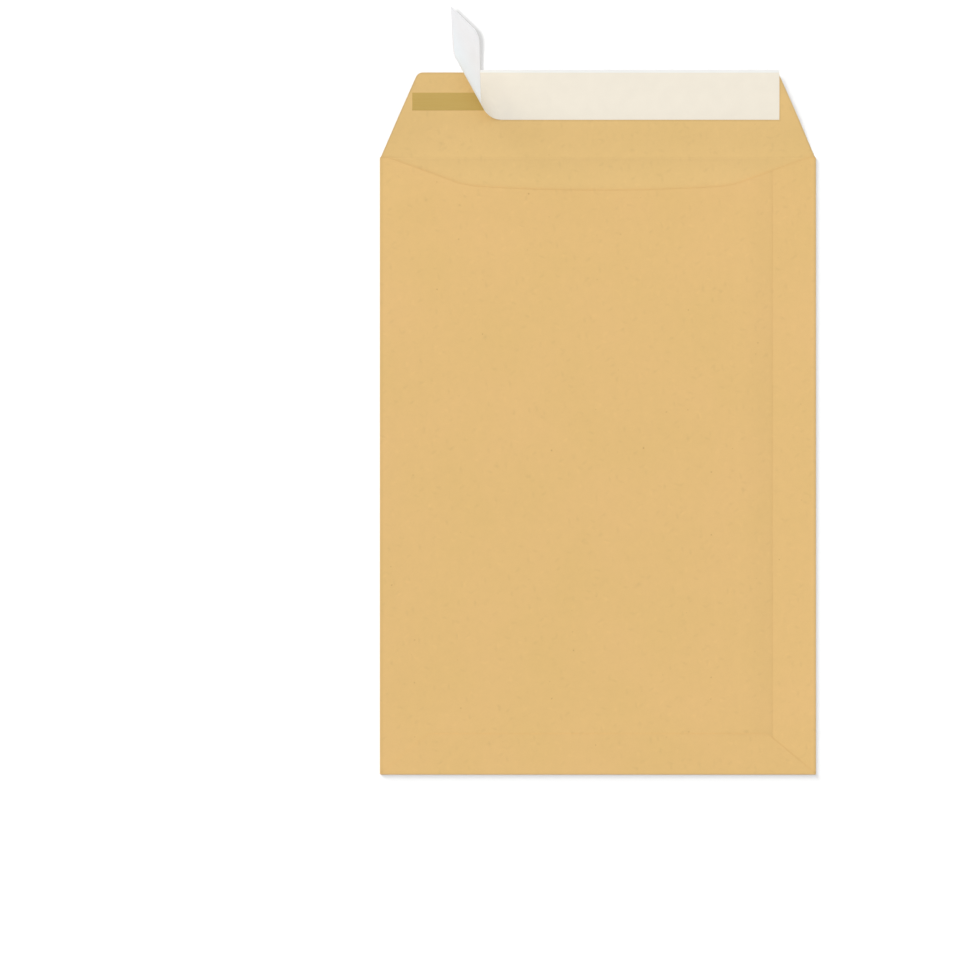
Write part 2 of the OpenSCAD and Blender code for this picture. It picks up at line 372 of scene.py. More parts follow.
@dataclass(frozen=True)
class KraftPaper(Finish):
    """Machine-glazed brown kraft paper, 90 grams a square metre, from unbleached wood pulp.

    Made as a felted web of long fibres, which gives the eye a cloudy tone, a faint fibre
    pattern and a few dark bark specks on a nearly matt surface.
    """

    warm: str
    cool: str
    speck: str = "#a97c45"
    # Left, right and lower edges of the strip that lies pressed on the paper, in millimetres
    strip: tuple[float, float, float] | None = None
    # Width and depth of the painted contact shadow round the lying strip
    contact_shadow_w: float = 1.3
    contact_shadow_depth: float = 0.12
    # Share of the lightness that one unit of the "tone" attribute adds; that attribute holds
    # painted shade, a painted highlight and the glue's darker tone
    tone_depth: float = 0.06
    cloud_size: float = 48.0
    cloud_range: tuple[float, float] = (0.32, 0.68)
    formation_size: float = 5.0
    formation_range: tuple[float, float] = (0.3, 0.7)
    formation_tone: tuple[float, float] = (0.984, 1.012)
    formation_depth: float = 0.018
    # Real fibres are 0.03 mm wide; they are drawn ten times as wide, so that they show
    fibre_width: float = 0.3
    fibre_length: float = 3.2
    fibre_angles: tuple[float, ...] = (14.0, 76.0, -41.0)
    fibre_range: tuple[float, float] = (0.56, 0.78)
    fibre_tone: float = 0.975
    fibre_depth: float = 0.008
    # Bundles of fibres that lie a little higher or lower than the rest
    fleck_length: float = 8.5
    fleck_width: float = 4.0
    fleck_turn: float = 23.0
    fleck_shift: float = 7.0
    fleck_share: float = 0.4
    fleck_radius: float = 0.3
    fleck_tone: tuple[float, float] = (-0.045, 0.027)
    speck_spacing: float = 12.0
    speck_radius: float = 0.5
    speck_edge: tuple[float, float] = (0.3, 1.3)
    speck_chance: float = 0.24
    speck_strength: tuple[float, float] = (0.1, 0.55)
    # Raggedness of the flecks and specks
    fray_size: float = 1.6
    fray_shift: float = 0.9
    roughness: float = 0.68
    rough_spread: float = 0.08
    specular: float = 0.25

    def inputs(self, tree: Tree, place: Socket) -> dict[str, object]:
        """Add the paper's tone, marks and relief.

        Args:
            tree: Node tree that takes the nodes.
            place: Socket with the places on the piece.

        Returns:
            Inputs of the shader, each with a value or a socket.
        """
        formation = add_node(tree, "ShaderNodeTexNoise", links={
            "Vector": place, "Scale": 1 / (self.formation_size * MM), "Detail": 4.0,
            "Roughness": 0.62,
        }).outputs["Fac"]
        fibres = self.fibres(tree, place)
        frayed = self.frayed(tree, place)
        level = add_node(tree, "ShaderNodeMapRange", links={
            "Value": formation,
            "From Min": self.formation_range[0], "From Max": self.formation_range[1],
            "To Min": self.formation_tone[0], "To Max": self.formation_tone[1],
        }).outputs["Result"]
        streaked = add_node(tree, "ShaderNodeMapRange", links={
            "Value": fibres, "To Min": 1.0, "To Max": self.fibre_tone,
        }).outputs["Result"]
        shade_and_tone = add_node(tree, "ShaderNodeAttribute", {"attribute_name": "tone"}).outputs["Fac"]
        tone_factor = add_node(tree, "ShaderNodeMath", {"operation": "MULTIPLY_ADD"}, {
            0: shade_and_tone, 1: self.tone_depth, 2: 1.0,
        }).outputs[0]
        changes = [("MULTIPLY", streaked), ("MULTIPLY", tone_factor), ("ADD", self.flecks(tree, frayed))]
        # Painted contact shadow round the strip that lies on the flap
        if self.strip is not None:
            changes.append(("SUBTRACT", self.along_edge(tree, place, self.strip)))
        for operation, change in changes:
            level = add_node(tree, "ShaderNodeMath", {"operation": operation}, {
                0: level, 1: change,
            }).outputs[0]
        shaded = add_node(tree, "ShaderNodeVectorMath", {"operation": "SCALE"}, {
            0: self.ground(tree, place), "Scale": level,
        }).outputs[0]
        colour = add_node(tree, "ShaderNodeMix", {"data_type": "RGBA"}, {
            0: self.specks(tree, frayed), 6: shaded, 7: srgb(self.speck),
        }).outputs[2]
        rough = add_node(tree, "ShaderNodeMapRange", links={
            "Value": formation, "To Min": self.roughness - self.rough_spread,
            "To Max": self.roughness + self.rough_spread,
        }).outputs["Result"]
        coarse = add_node(tree, "ShaderNodeBump", links={
            "Height": formation, "Distance": self.formation_depth * MM, "Strength": 1.0,
        }).outputs["Normal"]
        fine = add_node(tree, "ShaderNodeBump", links={
            "Height": fibres, "Distance": self.fibre_depth * MM, "Strength": 1.0,
            "Normal": coarse,
        }).outputs["Normal"]
        return {
            "Base Color": colour, "Roughness": rough, "Specular IOR Level": self.specular,
            "Normal": fine,
        }

    def ground(self, tree: Tree, place: Socket) -> Socket:
        """Cloud the paper's ground between its two colours.

        Args:
            tree: Node tree that takes the nodes.
            place: Socket with the places on the piece.

        Returns:
            Socket with the colour.
        """
        clouds = add_node(tree, "ShaderNodeTexNoise", links={
            "Vector": place, "Scale": 1 / (self.cloud_size * MM), "Detail": 3.0,
            "Roughness": 0.55,
        }).outputs["Fac"]
        share = add_node(tree, "ShaderNodeMapRange", links={
            "Value": clouds, "From Min": self.cloud_range[0], "From Max": self.cloud_range[1],
        }).outputs["Result"]
        return add_node(tree, "ShaderNodeMix", {"data_type": "RGBA"}, {
            0: share, 6: srgb(self.cool), 7: srgb(self.warm),
        }).outputs[2]

    def fibres(self, tree: Tree, place: Socket) -> Socket:
        """Add long fibres in several directions.

        Args:
            tree: Node tree that takes the nodes.
            place: Socket with the places on the piece.

        Returns:
            Socket that is 1 on a fibre and 0 beside it.
        """
        fibres = None
        for angle in self.fibre_angles:
            turned = add_node(tree, "ShaderNodeMapping", {"vector_type": "TEXTURE"}, {
                "Vector": place, "Rotation": (0.0, 0.0, math.radians(angle)),
                "Scale": (self.fibre_length * MM, self.fibre_width * MM, MM),
            }).outputs["Vector"]
            streaks = add_node(tree, "ShaderNodeTexNoise", links={
                "Vector": turned, "Scale": 1.0, "Detail": 1.0, "Distortion": 0.6,
            }).outputs["Fac"]
            sparse = add_node(tree, "ShaderNodeMapRange", {"interpolation_type": "SMOOTHSTEP"}, {
                "Value": streaks, "From Min": self.fibre_range[0], "From Max": self.fibre_range[1],
            }).outputs["Result"]
            fibres = sparse if fibres is None else add_node(
                tree, "ShaderNodeMath", {"operation": "MAXIMUM"}, {0: fibres, 1: sparse},
            ).outputs[0]
        return fibres

    def along_edge(self, tree: Tree, place: Socket, strip: tuple[float, float, float]) -> Socket:
        """Paint the contact shadow along the edges of a strip that lies on the paper.

        Args:
            tree: Node tree that takes the nodes.
            place: Socket with the places on the piece.
            strip: Left, right and lower edges of the strip.

        Returns:
            Socket with the loss of lightness.
        """
        left, right, front = (edge * MM for edge in strip)
        axes = add_node(tree, "ShaderNodeSeparateXYZ", links={"Vector": place}).outputs
        away = add_node(tree, "ShaderNodeMath", {"operation": "SUBTRACT"}, {
            0: axes["X"], 1: right,
        }).outputs[0]
        for edge, axis in ((left, "X"), (front, "Y")):
            past = add_node(tree, "ShaderNodeMath", {"operation": "SUBTRACT"}, {
                0: edge, 1: axes[axis],
            }).outputs[0]
            away = add_node(tree, "ShaderNodeMath", {"operation": "MAXIMUM"}, {
                0: away, 1: past,
            }).outputs[0]
        return add_node(tree, "ShaderNodeMapRange", {"interpolation_type": "SMOOTHSTEP"}, {
            "Value": away, "From Min": 0.0, "From Max": self.contact_shadow_w * MM,
            "To Min": self.contact_shadow_depth, "To Max": 0.0,
        }).outputs["Result"]

    def frayed(self, tree: Tree, place: Socket) -> Socket:
        """Shift places a little at random, so that marks get ragged outlines.

        Args:
            tree: Node tree that takes the nodes.
            place: Socket with the places on the piece.

        Returns:
            Socket with the shifted places.
        """
        most = self.fray_shift * MM
        ragged = add_node(tree, "ShaderNodeTexNoise", links={
            "Vector": place, "Scale": 1 / (self.fray_size * MM), "Detail": 2.0,
        }).outputs["Color"]
        shift = add_node(tree, "ShaderNodeVectorMath", {"operation": "MULTIPLY_ADD"}, {
            0: ragged, 1: (most, most, 0.0), 2: (-most / 2, -most / 2, 0.0),
        }).outputs[0]
        return add_node(tree, "ShaderNodeVectorMath", {"operation": "ADD"}, {
            0: place, 1: shift,
        }).outputs[0]

    def flecks(self, tree: Tree, place: Socket) -> Socket:
        """Add soft, long flecks in several directions, some lighter and some darker.

        Args:
            tree: Node tree that takes the nodes.
            place: Socket with the places on the piece.

        Returns:
            Socket with the change of lightness.
        """
        flecks = None
        for turn, angle in enumerate(self.fibre_angles):
            offset = (self.fleck_shift + turn) * MM
            turned = add_node(tree, "ShaderNodeMapping", {"vector_type": "TEXTURE"}, {
                "Vector": place, "Location": (offset, offset, 0.0),
                "Rotation": (0.0, 0.0, math.radians(angle + self.fleck_turn)),
                "Scale": (self.fleck_length * MM, self.fleck_width * MM, MM),
            }).outputs["Vector"]
            cells = add_node(tree, "ShaderNodeTexVoronoi", {"voronoi_dimensions": "2D"}, {
                "Vector": turned, "Scale": 1.0,
            }).outputs
            chance = add_node(tree, "ShaderNodeSeparateColor", links={
                "Color": cells["Color"],
            }).outputs
            fleck = add_node(tree, "ShaderNodeMapRange", {"interpolation_type": "SMOOTHSTEP"}, {
                "Value": cells["Distance"], "From Max": self.fleck_radius,
                "To Min": 1.0, "To Max": 0.0,
            }).outputs["Result"]
            present = add_node(tree, "ShaderNodeMath", {"operation": "LESS_THAN"}, {
                0: chance["Red"], 1: self.fleck_share,
            }).outputs[0]
            tone = add_node(tree, "ShaderNodeMapRange", links={
                "Value": chance["Green"],
                "To Min": self.fleck_tone[0], "To Max": self.fleck_tone[1],
            }).outputs["Result"]
            for factor in (present, tone):
                fleck = add_node(tree, "ShaderNodeMath", {"operation": "MULTIPLY"}, {
                    0: fleck, 1: factor,
                }).outputs[0]
            flecks = fleck if flecks is None else add_node(
                tree, "ShaderNodeMath", {"operation": "ADD"}, {0: flecks, 1: fleck},
            ).outputs[0]
        return flecks

    def specks(self, tree: Tree, place: Socket) -> Socket:
        """Add small bark specks of uneven size and strength.

        Args:
            tree: Node tree that takes the nodes.
            place: Socket with the places on the piece.

        Returns:
            Socket with the share of the speck's colour.
        """
        cells = add_node(tree, "ShaderNodeTexVoronoi", {"voronoi_dimensions": "2D"}, {
            "Vector": place, "Scale": 1 / (self.speck_spacing * MM),
        }).outputs
        chance = add_node(tree, "ShaderNodeSeparateColor", links={"Color": cells["Color"]}).outputs
        # The least reach is only there so that nothing is divided by 0
        reach = add_node(tree, "ShaderNodeMapRange", links={
            "Value": chance["Red"], "From Min": 1 - self.speck_chance, "From Max": 1.0,
            "To Min": 0.0001, "To Max": self.speck_radius / self.speck_spacing,
        }).outputs["Result"]
        away = add_node(tree, "ShaderNodeMath", {"operation": "DIVIDE"}, {
            0: cells["Distance"], 1: reach,
        }).outputs[0]
        shape = add_node(tree, "ShaderNodeMapRange", {"interpolation_type": "SMOOTHSTEP"}, {
            "Value": away, "From Min": self.speck_edge[0], "From Max": self.speck_edge[1],
            "To Min": 1.0, "To Max": 0.0,
        }).outputs["Result"]
        strength = add_node(tree, "ShaderNodeMapRange", links={
            "Value": chance["Green"],
            "To Min": self.speck_strength[0], "To Max": self.speck_strength[1],
        }).outputs["Result"]
        return add_node(tree, "ShaderNodeMath", {"operation": "MULTIPLY"}, {
            0: shape, 1: strength,
        }).outputs[0]


@dataclass(frozen=True)
class LinerPaper(Finish):
    """Bleached glassine release paper, supercalendered and coated on one face with silicone.

    The supercalendered sheet is smooth and a little translucent: it takes a cream tone from the
    kraft paper that it lies on, has painted shade by the peel line, and its free end is neutral.
    """

    over_kraft: str
    free: str
    peel_shade_colour: str
    roughness: float
    rough_spread: float = 0.05
    specular: float = 0.2
    # Density marks of the pressed sheet, a few millimetres across
    mark_size: float = 7.0
    mark_range: tuple[float, float] = (0.3, 0.7)
    mark_tone: tuple[float, float] = (0.985, 1.01)
    grain_size: float = 0.6
    grain_depth: float = 0.002

    def inputs(self, tree: Tree, place: Socket) -> dict[str, object]:
        """Add the tone and grain of one face of the liner.

        The "tone" attribute is 0 on the free end, 1 over kraft paper and 2 where the painted shade
        by the peel line is fullest.

        Args:
            tree: Node tree that takes the nodes.
            place: Socket with the places on the piece.

        Returns:
            Inputs of the shader, each with a value or a socket.
        """
        marks = add_node(tree, "ShaderNodeTexNoise", links={
            "Vector": place, "Scale": 1 / (self.mark_size * MM), "Detail": 3.0,
        }).outputs["Fac"]
        grain = add_node(tree, "ShaderNodeTexNoise", links={
            "Vector": place, "Scale": 1 / (self.grain_size * MM), "Detail": 2.0,
        }).outputs["Fac"]
        lying = add_node(tree, "ShaderNodeAttribute", {"attribute_name": "tone"}).outputs["Fac"]
        peel_shade_share = add_node(tree, "ShaderNodeMath", {"operation": "SUBTRACT"}, {
            0: lying, 1: 1.0,
        }).outputs[0]
        ground = srgb(self.free)
        for share, colour in ((lying, self.over_kraft), (peel_shade_share, self.peel_shade_colour)):
            ground = add_node(tree, "ShaderNodeMix", {"data_type": "RGBA"}, {
                0: share, 6: ground, 7: srgb(colour),
            }).outputs[2]
        level = add_node(tree, "ShaderNodeMapRange", links={
            "Value": marks, "From Min": self.mark_range[0], "From Max": self.mark_range[1],
            "To Min": self.mark_tone[0], "To Max": self.mark_tone[1],
        }).outputs["Result"]
        colour = add_node(tree, "ShaderNodeVectorMath", {"operation": "SCALE"}, {
            0: ground, "Scale": level,
        }).outputs[0]
        rough = add_node(tree, "ShaderNodeMapRange", links={
            "Value": marks, "To Min": self.roughness - self.rough_spread,
            "To Max": self.roughness + self.rough_spread,
        }).outputs["Result"]
        bump = add_node(tree, "ShaderNodeBump", links={
            "Height": grain, "Distance": self.grain_depth * MM, "Strength": 1.0,
        }).outputs["Normal"]
        return {
            "Base Color": colour, "Roughness": rough, "Specular IOR Level": self.specular,
            "Normal": bump,
        }


@dataclass(frozen=True)
class PressureAdhesive(Finish):
    """Rubber hotmelt adhesive, laid from a slot nozzle as a thin clear amber band on kraft.

    It darkens the paper under it and has a soft shine, with streaks along the band from the
    nozzle and pin-sized bubbles.
    """

    colour: str
    pale: str
    roughness: float
    rough_spread: float = 0.06
    specular: float = 0.3
    # Streaks run along the band
    streak_width: float = 0.8
    streak_length: float = 30.0
    streak_range: tuple[float, float] = (0.3, 0.7)
    streak_share: float = 0.5
    bubble_spacing: float = 2.4
    bubble_radius: float = 0.16
    bubble_share: float = 0.3
    # Height of a bubble and depth of the whole relief, the first as a share of the streaks
    bubble_rise: float = 0.6
    depth: float = 0.012

    def inputs(self, tree: Tree, place: Socket) -> dict[str, object]:
        """Add the adhesive's streaks and bubbles.

        Args:
            tree: Node tree that takes the nodes.
            place: Socket with the places on the piece.

        Returns:
            Inputs of the shader, each with a value or a socket.
        """
        stretched = add_node(tree, "ShaderNodeMapping", {"vector_type": "TEXTURE"}, {
            "Vector": place, "Scale": (self.streak_length * MM, self.streak_width * MM, MM),
        }).outputs["Vector"]
        streaks = add_node(tree, "ShaderNodeTexNoise", links={
            "Vector": stretched, "Scale": 1.0, "Detail": 3.0,
        }).outputs["Fac"]
        cells = add_node(tree, "ShaderNodeTexVoronoi", {"voronoi_dimensions": "2D"}, {
            "Vector": place, "Scale": 1 / (self.bubble_spacing * MM),
        }).outputs["Distance"]
        bubbles = add_node(tree, "ShaderNodeMapRange", {"interpolation_type": "SMOOTHSTEP"}, {
            "Value": cells, "From Max": self.bubble_radius / self.bubble_spacing,
            "To Min": 1.0, "To Max": 0.0,
        }).outputs["Result"]
        streaked = add_node(tree, "ShaderNodeMapRange", links={
            "Value": streaks, "From Min": self.streak_range[0], "From Max": self.streak_range[1],
            "To Max": self.streak_share,
        }).outputs["Result"]
        faint = add_node(tree, "ShaderNodeMath", {"operation": "MULTIPLY"}, {
            0: bubbles, 1: self.bubble_share,
        }).outputs[0]
        colour = srgb(self.colour)
        for share in (streaked, faint):
            colour = add_node(tree, "ShaderNodeMix", {"data_type": "RGBA"}, {
                0: share, 6: colour, 7: srgb(self.pale),
            }).outputs[2]
        height = add_node(tree, "ShaderNodeMath", {"operation": "MULTIPLY_ADD"}, {
            0: bubbles, 1: self.bubble_rise, 2: streaks,
        }).outputs[0]
        bump = add_node(tree, "ShaderNodeBump", links={
            "Height": height, "Distance": self.depth * MM, "Strength": 1.0,
        }).outputs["Normal"]
        rough = add_node(tree, "ShaderNodeMapRange", links={
            "Value": streaks, "To Min": self.roughness - self.rough_spread,
            "To Max": self.roughness + self.rough_spread,
        }).outputs["Result"]
        return {
            "Base Color": colour, "Roughness": rough, "Specular IOR Level": self.specular,
            "Normal": bump,
        }


@dataclass(frozen=True)
class WindowFilm(Finish):
    """Clear polystyrene window film, cast thin, glossy and very slightly hazy.

    It gives the eye a faint veil over what lies behind it, with reflections that ripple.
    """

    name: str = "cast_polystyrene_film"
    tint: str = "#e9ece6"
    opacity: float = 0.2
    haze_spread: float = 0.03
    roughness: float = 0.1
    specular: float = 0.6
    ripple_size: float = 16.0
    ripple_depth: float = 0.05

    def inputs(self, tree: Tree, place: Socket) -> dict[str, object]:
        """Add the film's ripples and haze.

        Args:
            tree: Node tree that takes the nodes.
            place: Socket with the places on the piece.

        Returns:
            Inputs of the shader, each with a value or a socket.
        """
        ripples = add_node(tree, "ShaderNodeTexNoise", links={
            "Vector": place, "Scale": 1 / (self.ripple_size * MM), "Detail": 2.0,
        }).outputs["Fac"]
        haze = add_node(tree, "ShaderNodeMapRange", links={
            "Value": ripples, "To Min": self.opacity - self.haze_spread,
            "To Max": self.opacity + self.haze_spread,
        }).outputs["Result"]
        bump = add_node(tree, "ShaderNodeBump", links={
            "Height": ripples, "Distance": self.ripple_depth * MM, "Strength": 1.0,
        }).outputs["Normal"]
        return {
            "Base Color": srgb(self.tint), "Roughness": self.roughness, "Alpha": haze,
            "Specular IOR Level": self.specular, "Normal": bump,
        }


@dataclass
class PaperRelief:
    """Small unevenness of paper that has been folded, glued and dried, in millimetres."""

    left: float
    right: float
    bottom: float
    fold: float
    seam_flap: float
    back_edge: float
    bottom_flap: float
    mouth: float
    long_wave: float = 74.0
    short_wave: float = 27.0
    long_rise: float = 0.2
    short_rise: float = 0.05
    # Mean rise of the lying sheet, as a share of the long waves' rise, and share of its waves
    lying_mean: float = 0.3
    lying_waves: float = 0.7
    sag: float = 0.06
    sag_w: float = 3.0
    fold_hold: float = 14.0
    flap_spring: float = 1.1
    flap_bend: float = 26.0
    mouth_gape: float = 0.3
    mouth_depth: float = 22.0
    # The last millimetres of the back panel's edge have no glue: they are pressed down unevenly,
    # and the paper is crushed thinner towards its cut
    edge_press: float = 0.035
    edge_crush: float = 0.05
    edge_loose: float = 1.6
    edge_wave: float = 11.0
    edge_least: float = 0.3
    # Numbers that pick the random patterns
    lying_seed: float = 3.1
    pocket_seed: float = 7.7
    quick_seed: float = 9.5
    throat_seed: float = 2.5
    edge_seed: float = 5.5

    def wave(self, x: float, y: float, seed: float) -> float:
        """Waviness of a free stretch of paper.

        Args:
            x: Place across the envelope.
            y: Place along the envelope.
            seed: Number that picks one sheet's pattern.

        Returns:
            Height between about -1 and 1 times the rises.
        """
        slow = noise.noise(Vector((x / self.long_wave, y / self.long_wave, seed)))
        other = seed + self.quick_seed
        quick = noise.noise(Vector((x / self.short_wave, y / self.short_wave, other)))
        return self.long_rise * slow + self.short_rise * quick

    def lying(self, x: float, y: float) -> float:
        """Rise of the sheet that lies on the table: the front panel and the closing flap.

        Args:
            x: Place across the envelope.
            y: Place along the envelope.

        Returns:
            Rise above the table, never below it.
        """
        if y <= self.fold:
            hold = min(x - self.left, self.right - x, y - self.bottom, self.fold - y)
            spring = 0.0
        else:
            hold = y - self.fold
            spring = self.flap_spring * float(smooth(hold / self.flap_bend))
        free = float(smooth(hold / self.fold_hold))
        waves = self.lying_waves * self.wave(x, y, self.lying_seed)
        return spring + free * max(0.0, self.lying_mean * self.long_rise + waves)

    def pocket(self, x: float, y: float) -> float:
        """Rise or sag of the back panel, which is held flat where it is folded or glued.

        Args:
            x: Place across the envelope.
            y: Place along the envelope.

        Returns:
            Height over the panel's nominal level.
        """
        free = float(
            smooth((x - self.left) / self.fold_hold)
            * smooth((y - self.bottom_flap) / self.fold_hold)
        )
        off_seam = float(smooth((self.seam_flap - x) / self.sag_w))
        loose = float(smooth((self.seam_flap - x) / self.fold_hold))
        mouth = self.mouth_gape * float(smooth((y - self.mouth) / self.mouth_depth + 1))
        waves = self.wave(x, y, self.pocket_seed)
        return free * (loose * (waves + mouth) - off_seam * self.sag)

    def uneven(self, along: float, seed: float) -> float:
        """Share between the least one and 1 that wanders along a cut edge.

        Args:
            along: Place along the edge.
            seed: Number that picks one edge's pattern.

        Returns:
            The share at that place.
        """
        wander = 0.5 + noise.noise(Vector((along / self.edge_wave, 0.0, seed)))
        return min(1.0, max(0.0, wander) + self.edge_least)

    def crushed(self, x: float) -> float:
        """Loss of thickness in the back panel towards its free edge, at a place across it."""
        return self.edge_crush * float(smooth((x - self.back_edge) / self.edge_loose + 1))

    def along_edge(self, x: float, y: float) -> float:
        """Fall of the back panel's free edge onto the seam flap.

        Args:
            x: Place across the envelope.
            y: Place along the envelope.

        Returns:
            Height over the panel's nominal level, never above it.
        """
        near = self.crushed(x) / self.edge_crush
        return -self.crushed(x) - self.edge_press * near * self.uneven(y, self.edge_seed)


@dataclass
class EnvelopeBlank:
    """The one die-cut and folded sheet of kraft paper, with all its panels and flaps."""

    low: Vector
    high: Vector
    body_h: float = 324.0
    paper_t: float = 0.12
    pocket_gap: float = 0.5
    glue_t: float = 0.04
    seam_edge: float = 23.0
    seam_flap_w: float = 39.0
    throat_depth: float = 17.5
    throat_slope: float = 20.0
    throat_shoulder_r: float = 20.0
    throat_fillet_r: float = 50.0
    throat_middle_r: float = 1000.0
    bottom_flap_h: float = 21.5
    bottom_flap_taper: float = 25.6
    bottom_flap_r: float = 7.0
    flap_lean: float = 24.0
    flap_r: float = 4.0
    flap_step: float = 0.3
    score_w: float = 0.9
    score_d: float = 0.03
    window_w: float = 90.0
    window_h: float = 55.0
    window_r: float = 3.0
    window_side: float = 20.0
    window_drop: float = 57.0
    # Widths of the bands of painted shade along folds and cut edges, and of the painted highlight
    # by the right fold
    highlight_w: float = 3.0
    bottom_shade_w: float = 1.0
    side_shade_w: float = 1.8
    throat_shade_w: float = 0.9
    flap_edge_shade_w: float = 1.3
    shade_w: float = 14.0
    corner_w: float = 22.0
    # Share of the corner's width, next to the side fold, that has no shade
    corner_clear: float = 0.3
    lower_darkening_w: float = 190.0
    flap_margin: float = 10.2
    margin_fade: float = 1.5
    glued_w: float = 12.0
    # Painted shade along the bottom flap's edge, from before the seam flap to past the back's edge
    line_w: float = 1.6
    line_before: float = 15.0
    line_fade: float = 6.0
    line_past: float = 1.0
    # The painted shade along the throat's edge is faint on its left and stronger on its right
    throat_places: tuple[float, ...] = (-100.0, -50.0, 24.0, 84.0)
    throat_shade_strength: tuple[float, ...] = (0.0, 0.5, 0.5, 1.3)
    # Longest steps on open paper, near hidden edges, in the crushed edge and in the turns
    pitch: float = 3.6
    edge_pitch: float = 0.8
    crush_pitch: float = 0.4
    turn_pitch: float = 0.3
    # Lengths before and past an edge that have the finer steps
    flap_reach: float = 4.0
    seam_before: float = 6.0
    seam_past: float = 2.0
    crush_before: float = 2.0
    arc_steps: int = 7

    def __post_init__(self) -> None:
        """Work out the lines and levels that the panels share."""
        self.half_w = (self.high.x - self.low.x) / 2 / MM
        self.flap_top = self.high.y / MM
        self.seam_z = self.paper_t + self.pocket_gap
        self.back_z = self.seam_z + self.paper_t + self.glue_t
        self.bottom_flap_z = self.back_z + self.paper_t + self.glue_t
        self.left_r = (self.back_z + self.paper_t) / 2
        self.right_r = (self.seam_z + self.paper_t) / 2
        self.bottom_r = (self.bottom_flap_z + self.paper_t) / 2
        self.left = self.left_r - self.half_w
        self.right = self.half_w - self.right_r
        self.fold = self.body_h / 2
        self.bottom = self.bottom_r - self.fold
        self.back_edge = self.half_w - self.seam_edge
        self.seam_flap = self.half_w - self.seam_flap_w
        self.flap_base = self.half_w - self.flap_step
        self.bottom_flap = self.bottom_flap_h - self.fold
        self.window_left = self.half_w - self.window_side - self.window_w
        self.window_right = self.window_left + self.window_w
        self.window_low = self.fold - self.window_drop - self.window_h
        self.turn_low = self.window_low + self.window_r
        self.turn_high = self.window_low + self.window_h - self.window_r
        self.relief = PaperRelief(
            self.left, self.right, self.bottom, self.fold, self.seam_flap, self.back_edge,
            self.bottom_flap, self.fold - self.throat_depth,
        )

    def throat(self, x: float) -> float:
        """Height of the throat's edge, from arcs and a straight that touch without a kink.

        Args:
            x: Place across the envelope.

        Returns:
            Place of the throat's edge along the envelope.
        """
        slope = math.radians(self.throat_slope)
        away = abs(x)
        middle_r, fillet_r, shoulder_r = (
            self.throat_middle_r, self.throat_fillet_r, self.throat_shoulder_r,
        )
        middle_end = slope - math.acos((
            self.half_w * math.sin(slope) - self.throat_depth * math.cos(slope)
            - fillet_r - shoulder_r + (middle_r + shoulder_r) * math.cos(slope)
        ) / (middle_r - fillet_r))
        deepest = self.fold - self.throat_depth
        middle_x = middle_r * math.sin(middle_end)
        fillet_x = middle_x - fillet_r * math.sin(middle_end)
        fillet_y = deepest + middle_r - (middle_r - fillet_r) * math.cos(middle_end)
        straight_x = fillet_x + fillet_r * math.sin(slope)
        straight_y = fillet_y - fillet_r * math.cos(slope)
        if away <= middle_x:
            return deepest + middle_r - math.sqrt(middle_r ** 2 - away ** 2)
        if away <= straight_x:
            return fillet_y - math.sqrt(fillet_r ** 2 - (away - fillet_x) ** 2)
        if away <= self.half_w - shoulder_r * math.sin(slope):
            return straight_y + (away - straight_x) * math.tan(slope)
        inward = self.half_w - away
        return self.fold - shoulder_r + math.sqrt(shoulder_r ** 2 - inward ** 2)

    def flap_rows(
        self, base_y: float, top_y: float, base_x: float, lean: float, corner_r: float,
    ) -> tuple[np.ndarray, np.ndarray]:
        """Rows of a flap with leaning ends and rounded corners.

        Args:
            base_y: Place of the flap's fold.
            top_y: Place of its free edge.
            base_x: Half its width at the fold.
            lean: Lean of its ends from upright, in radians.
            corner_r: Radius of its free corners.

        Returns:
            Place of each row, and half the flap's width there.
        """
        centre_y = top_y - corner_r
        centre_x = base_x - (corner_r + (centre_y - base_y) * math.sin(lean)) / math.cos(lean)
        score = [base_y + self.score_w * s for s in (0.0, 0.25, 0.5, 1.0, 1.5)]
        straight = steps(score[-1], centre_y + corner_r * math.sin(lean), self.pitch)
        angles = [
            lean + (math.pi / 2 - lean) * k / self.arc_steps for k in range(self.arc_steps + 1)
        ]
        rows = score[:-1] + straight
        widths = [base_x - (y - base_y) * math.tan(lean) for y in rows]
        rows += [centre_y + corner_r * math.sin(a) for a in angles[1:]]
        widths += [centre_x + corner_r * math.cos(a) for a in angles[1:]]
        return np.array(rows), np.array(widths)

    def columns(self) -> np.ndarray:
        """Lines across the front sheet, closer together round the window's corners.

        Returns:
            Places across the envelope, from the left fold to the right one.
        """
        turn = rounding(self.window_r, self.arc_steps)
        return joined(
            [self.left, self.right],
            steps(-self.flap_base, -self.flap_base + self.flap_edge_shade_w, self.flap_edge_shade_w / 3),
            steps(self.flap_base - self.flap_edge_shade_w, self.flap_base, self.flap_edge_shade_w / 3),
            steps(-self.flap_base + self.flap_edge_shade_w, self.window_left, self.pitch),
            [self.window_left + t for t in turn],
            steps(self.window_left + self.window_r, self.window_right - self.window_r, self.pitch),
            [self.window_right - t for t in turn],
            steps(self.window_right, self.flap_base - self.flap_edge_shade_w, self.pitch),
        )

    def rows(self) -> np.ndarray:
        """Lines along the envelope, which all its long panels share at the left fold.

        Returns:
            Places along the envelope, from the bottom fold to the flap fold.
        """
        before, past = self.bottom_flap - self.flap_reach, self.bottom_flap + self.flap_reach
        score = self.fold - 2 * self.score_w
        return joined(
            steps(self.bottom, before, self.pitch),
            steps(before, past, self.edge_pitch),
            steps(past, self.turn_low, self.pitch),
            steps(self.turn_low, self.turn_high, self.pitch),
            steps(self.turn_high, score, self.pitch),
            steps(score, self.fold, self.score_w / 4),
        )

    def score_dent(self, y: float) -> float:
        """Depth that the creasing wheel leaves in the inner face near the flap fold."""
        away = abs(y - self.fold) / (self.score_w / 2)
        return self.score_d * max(0.0, 1 - away * away)

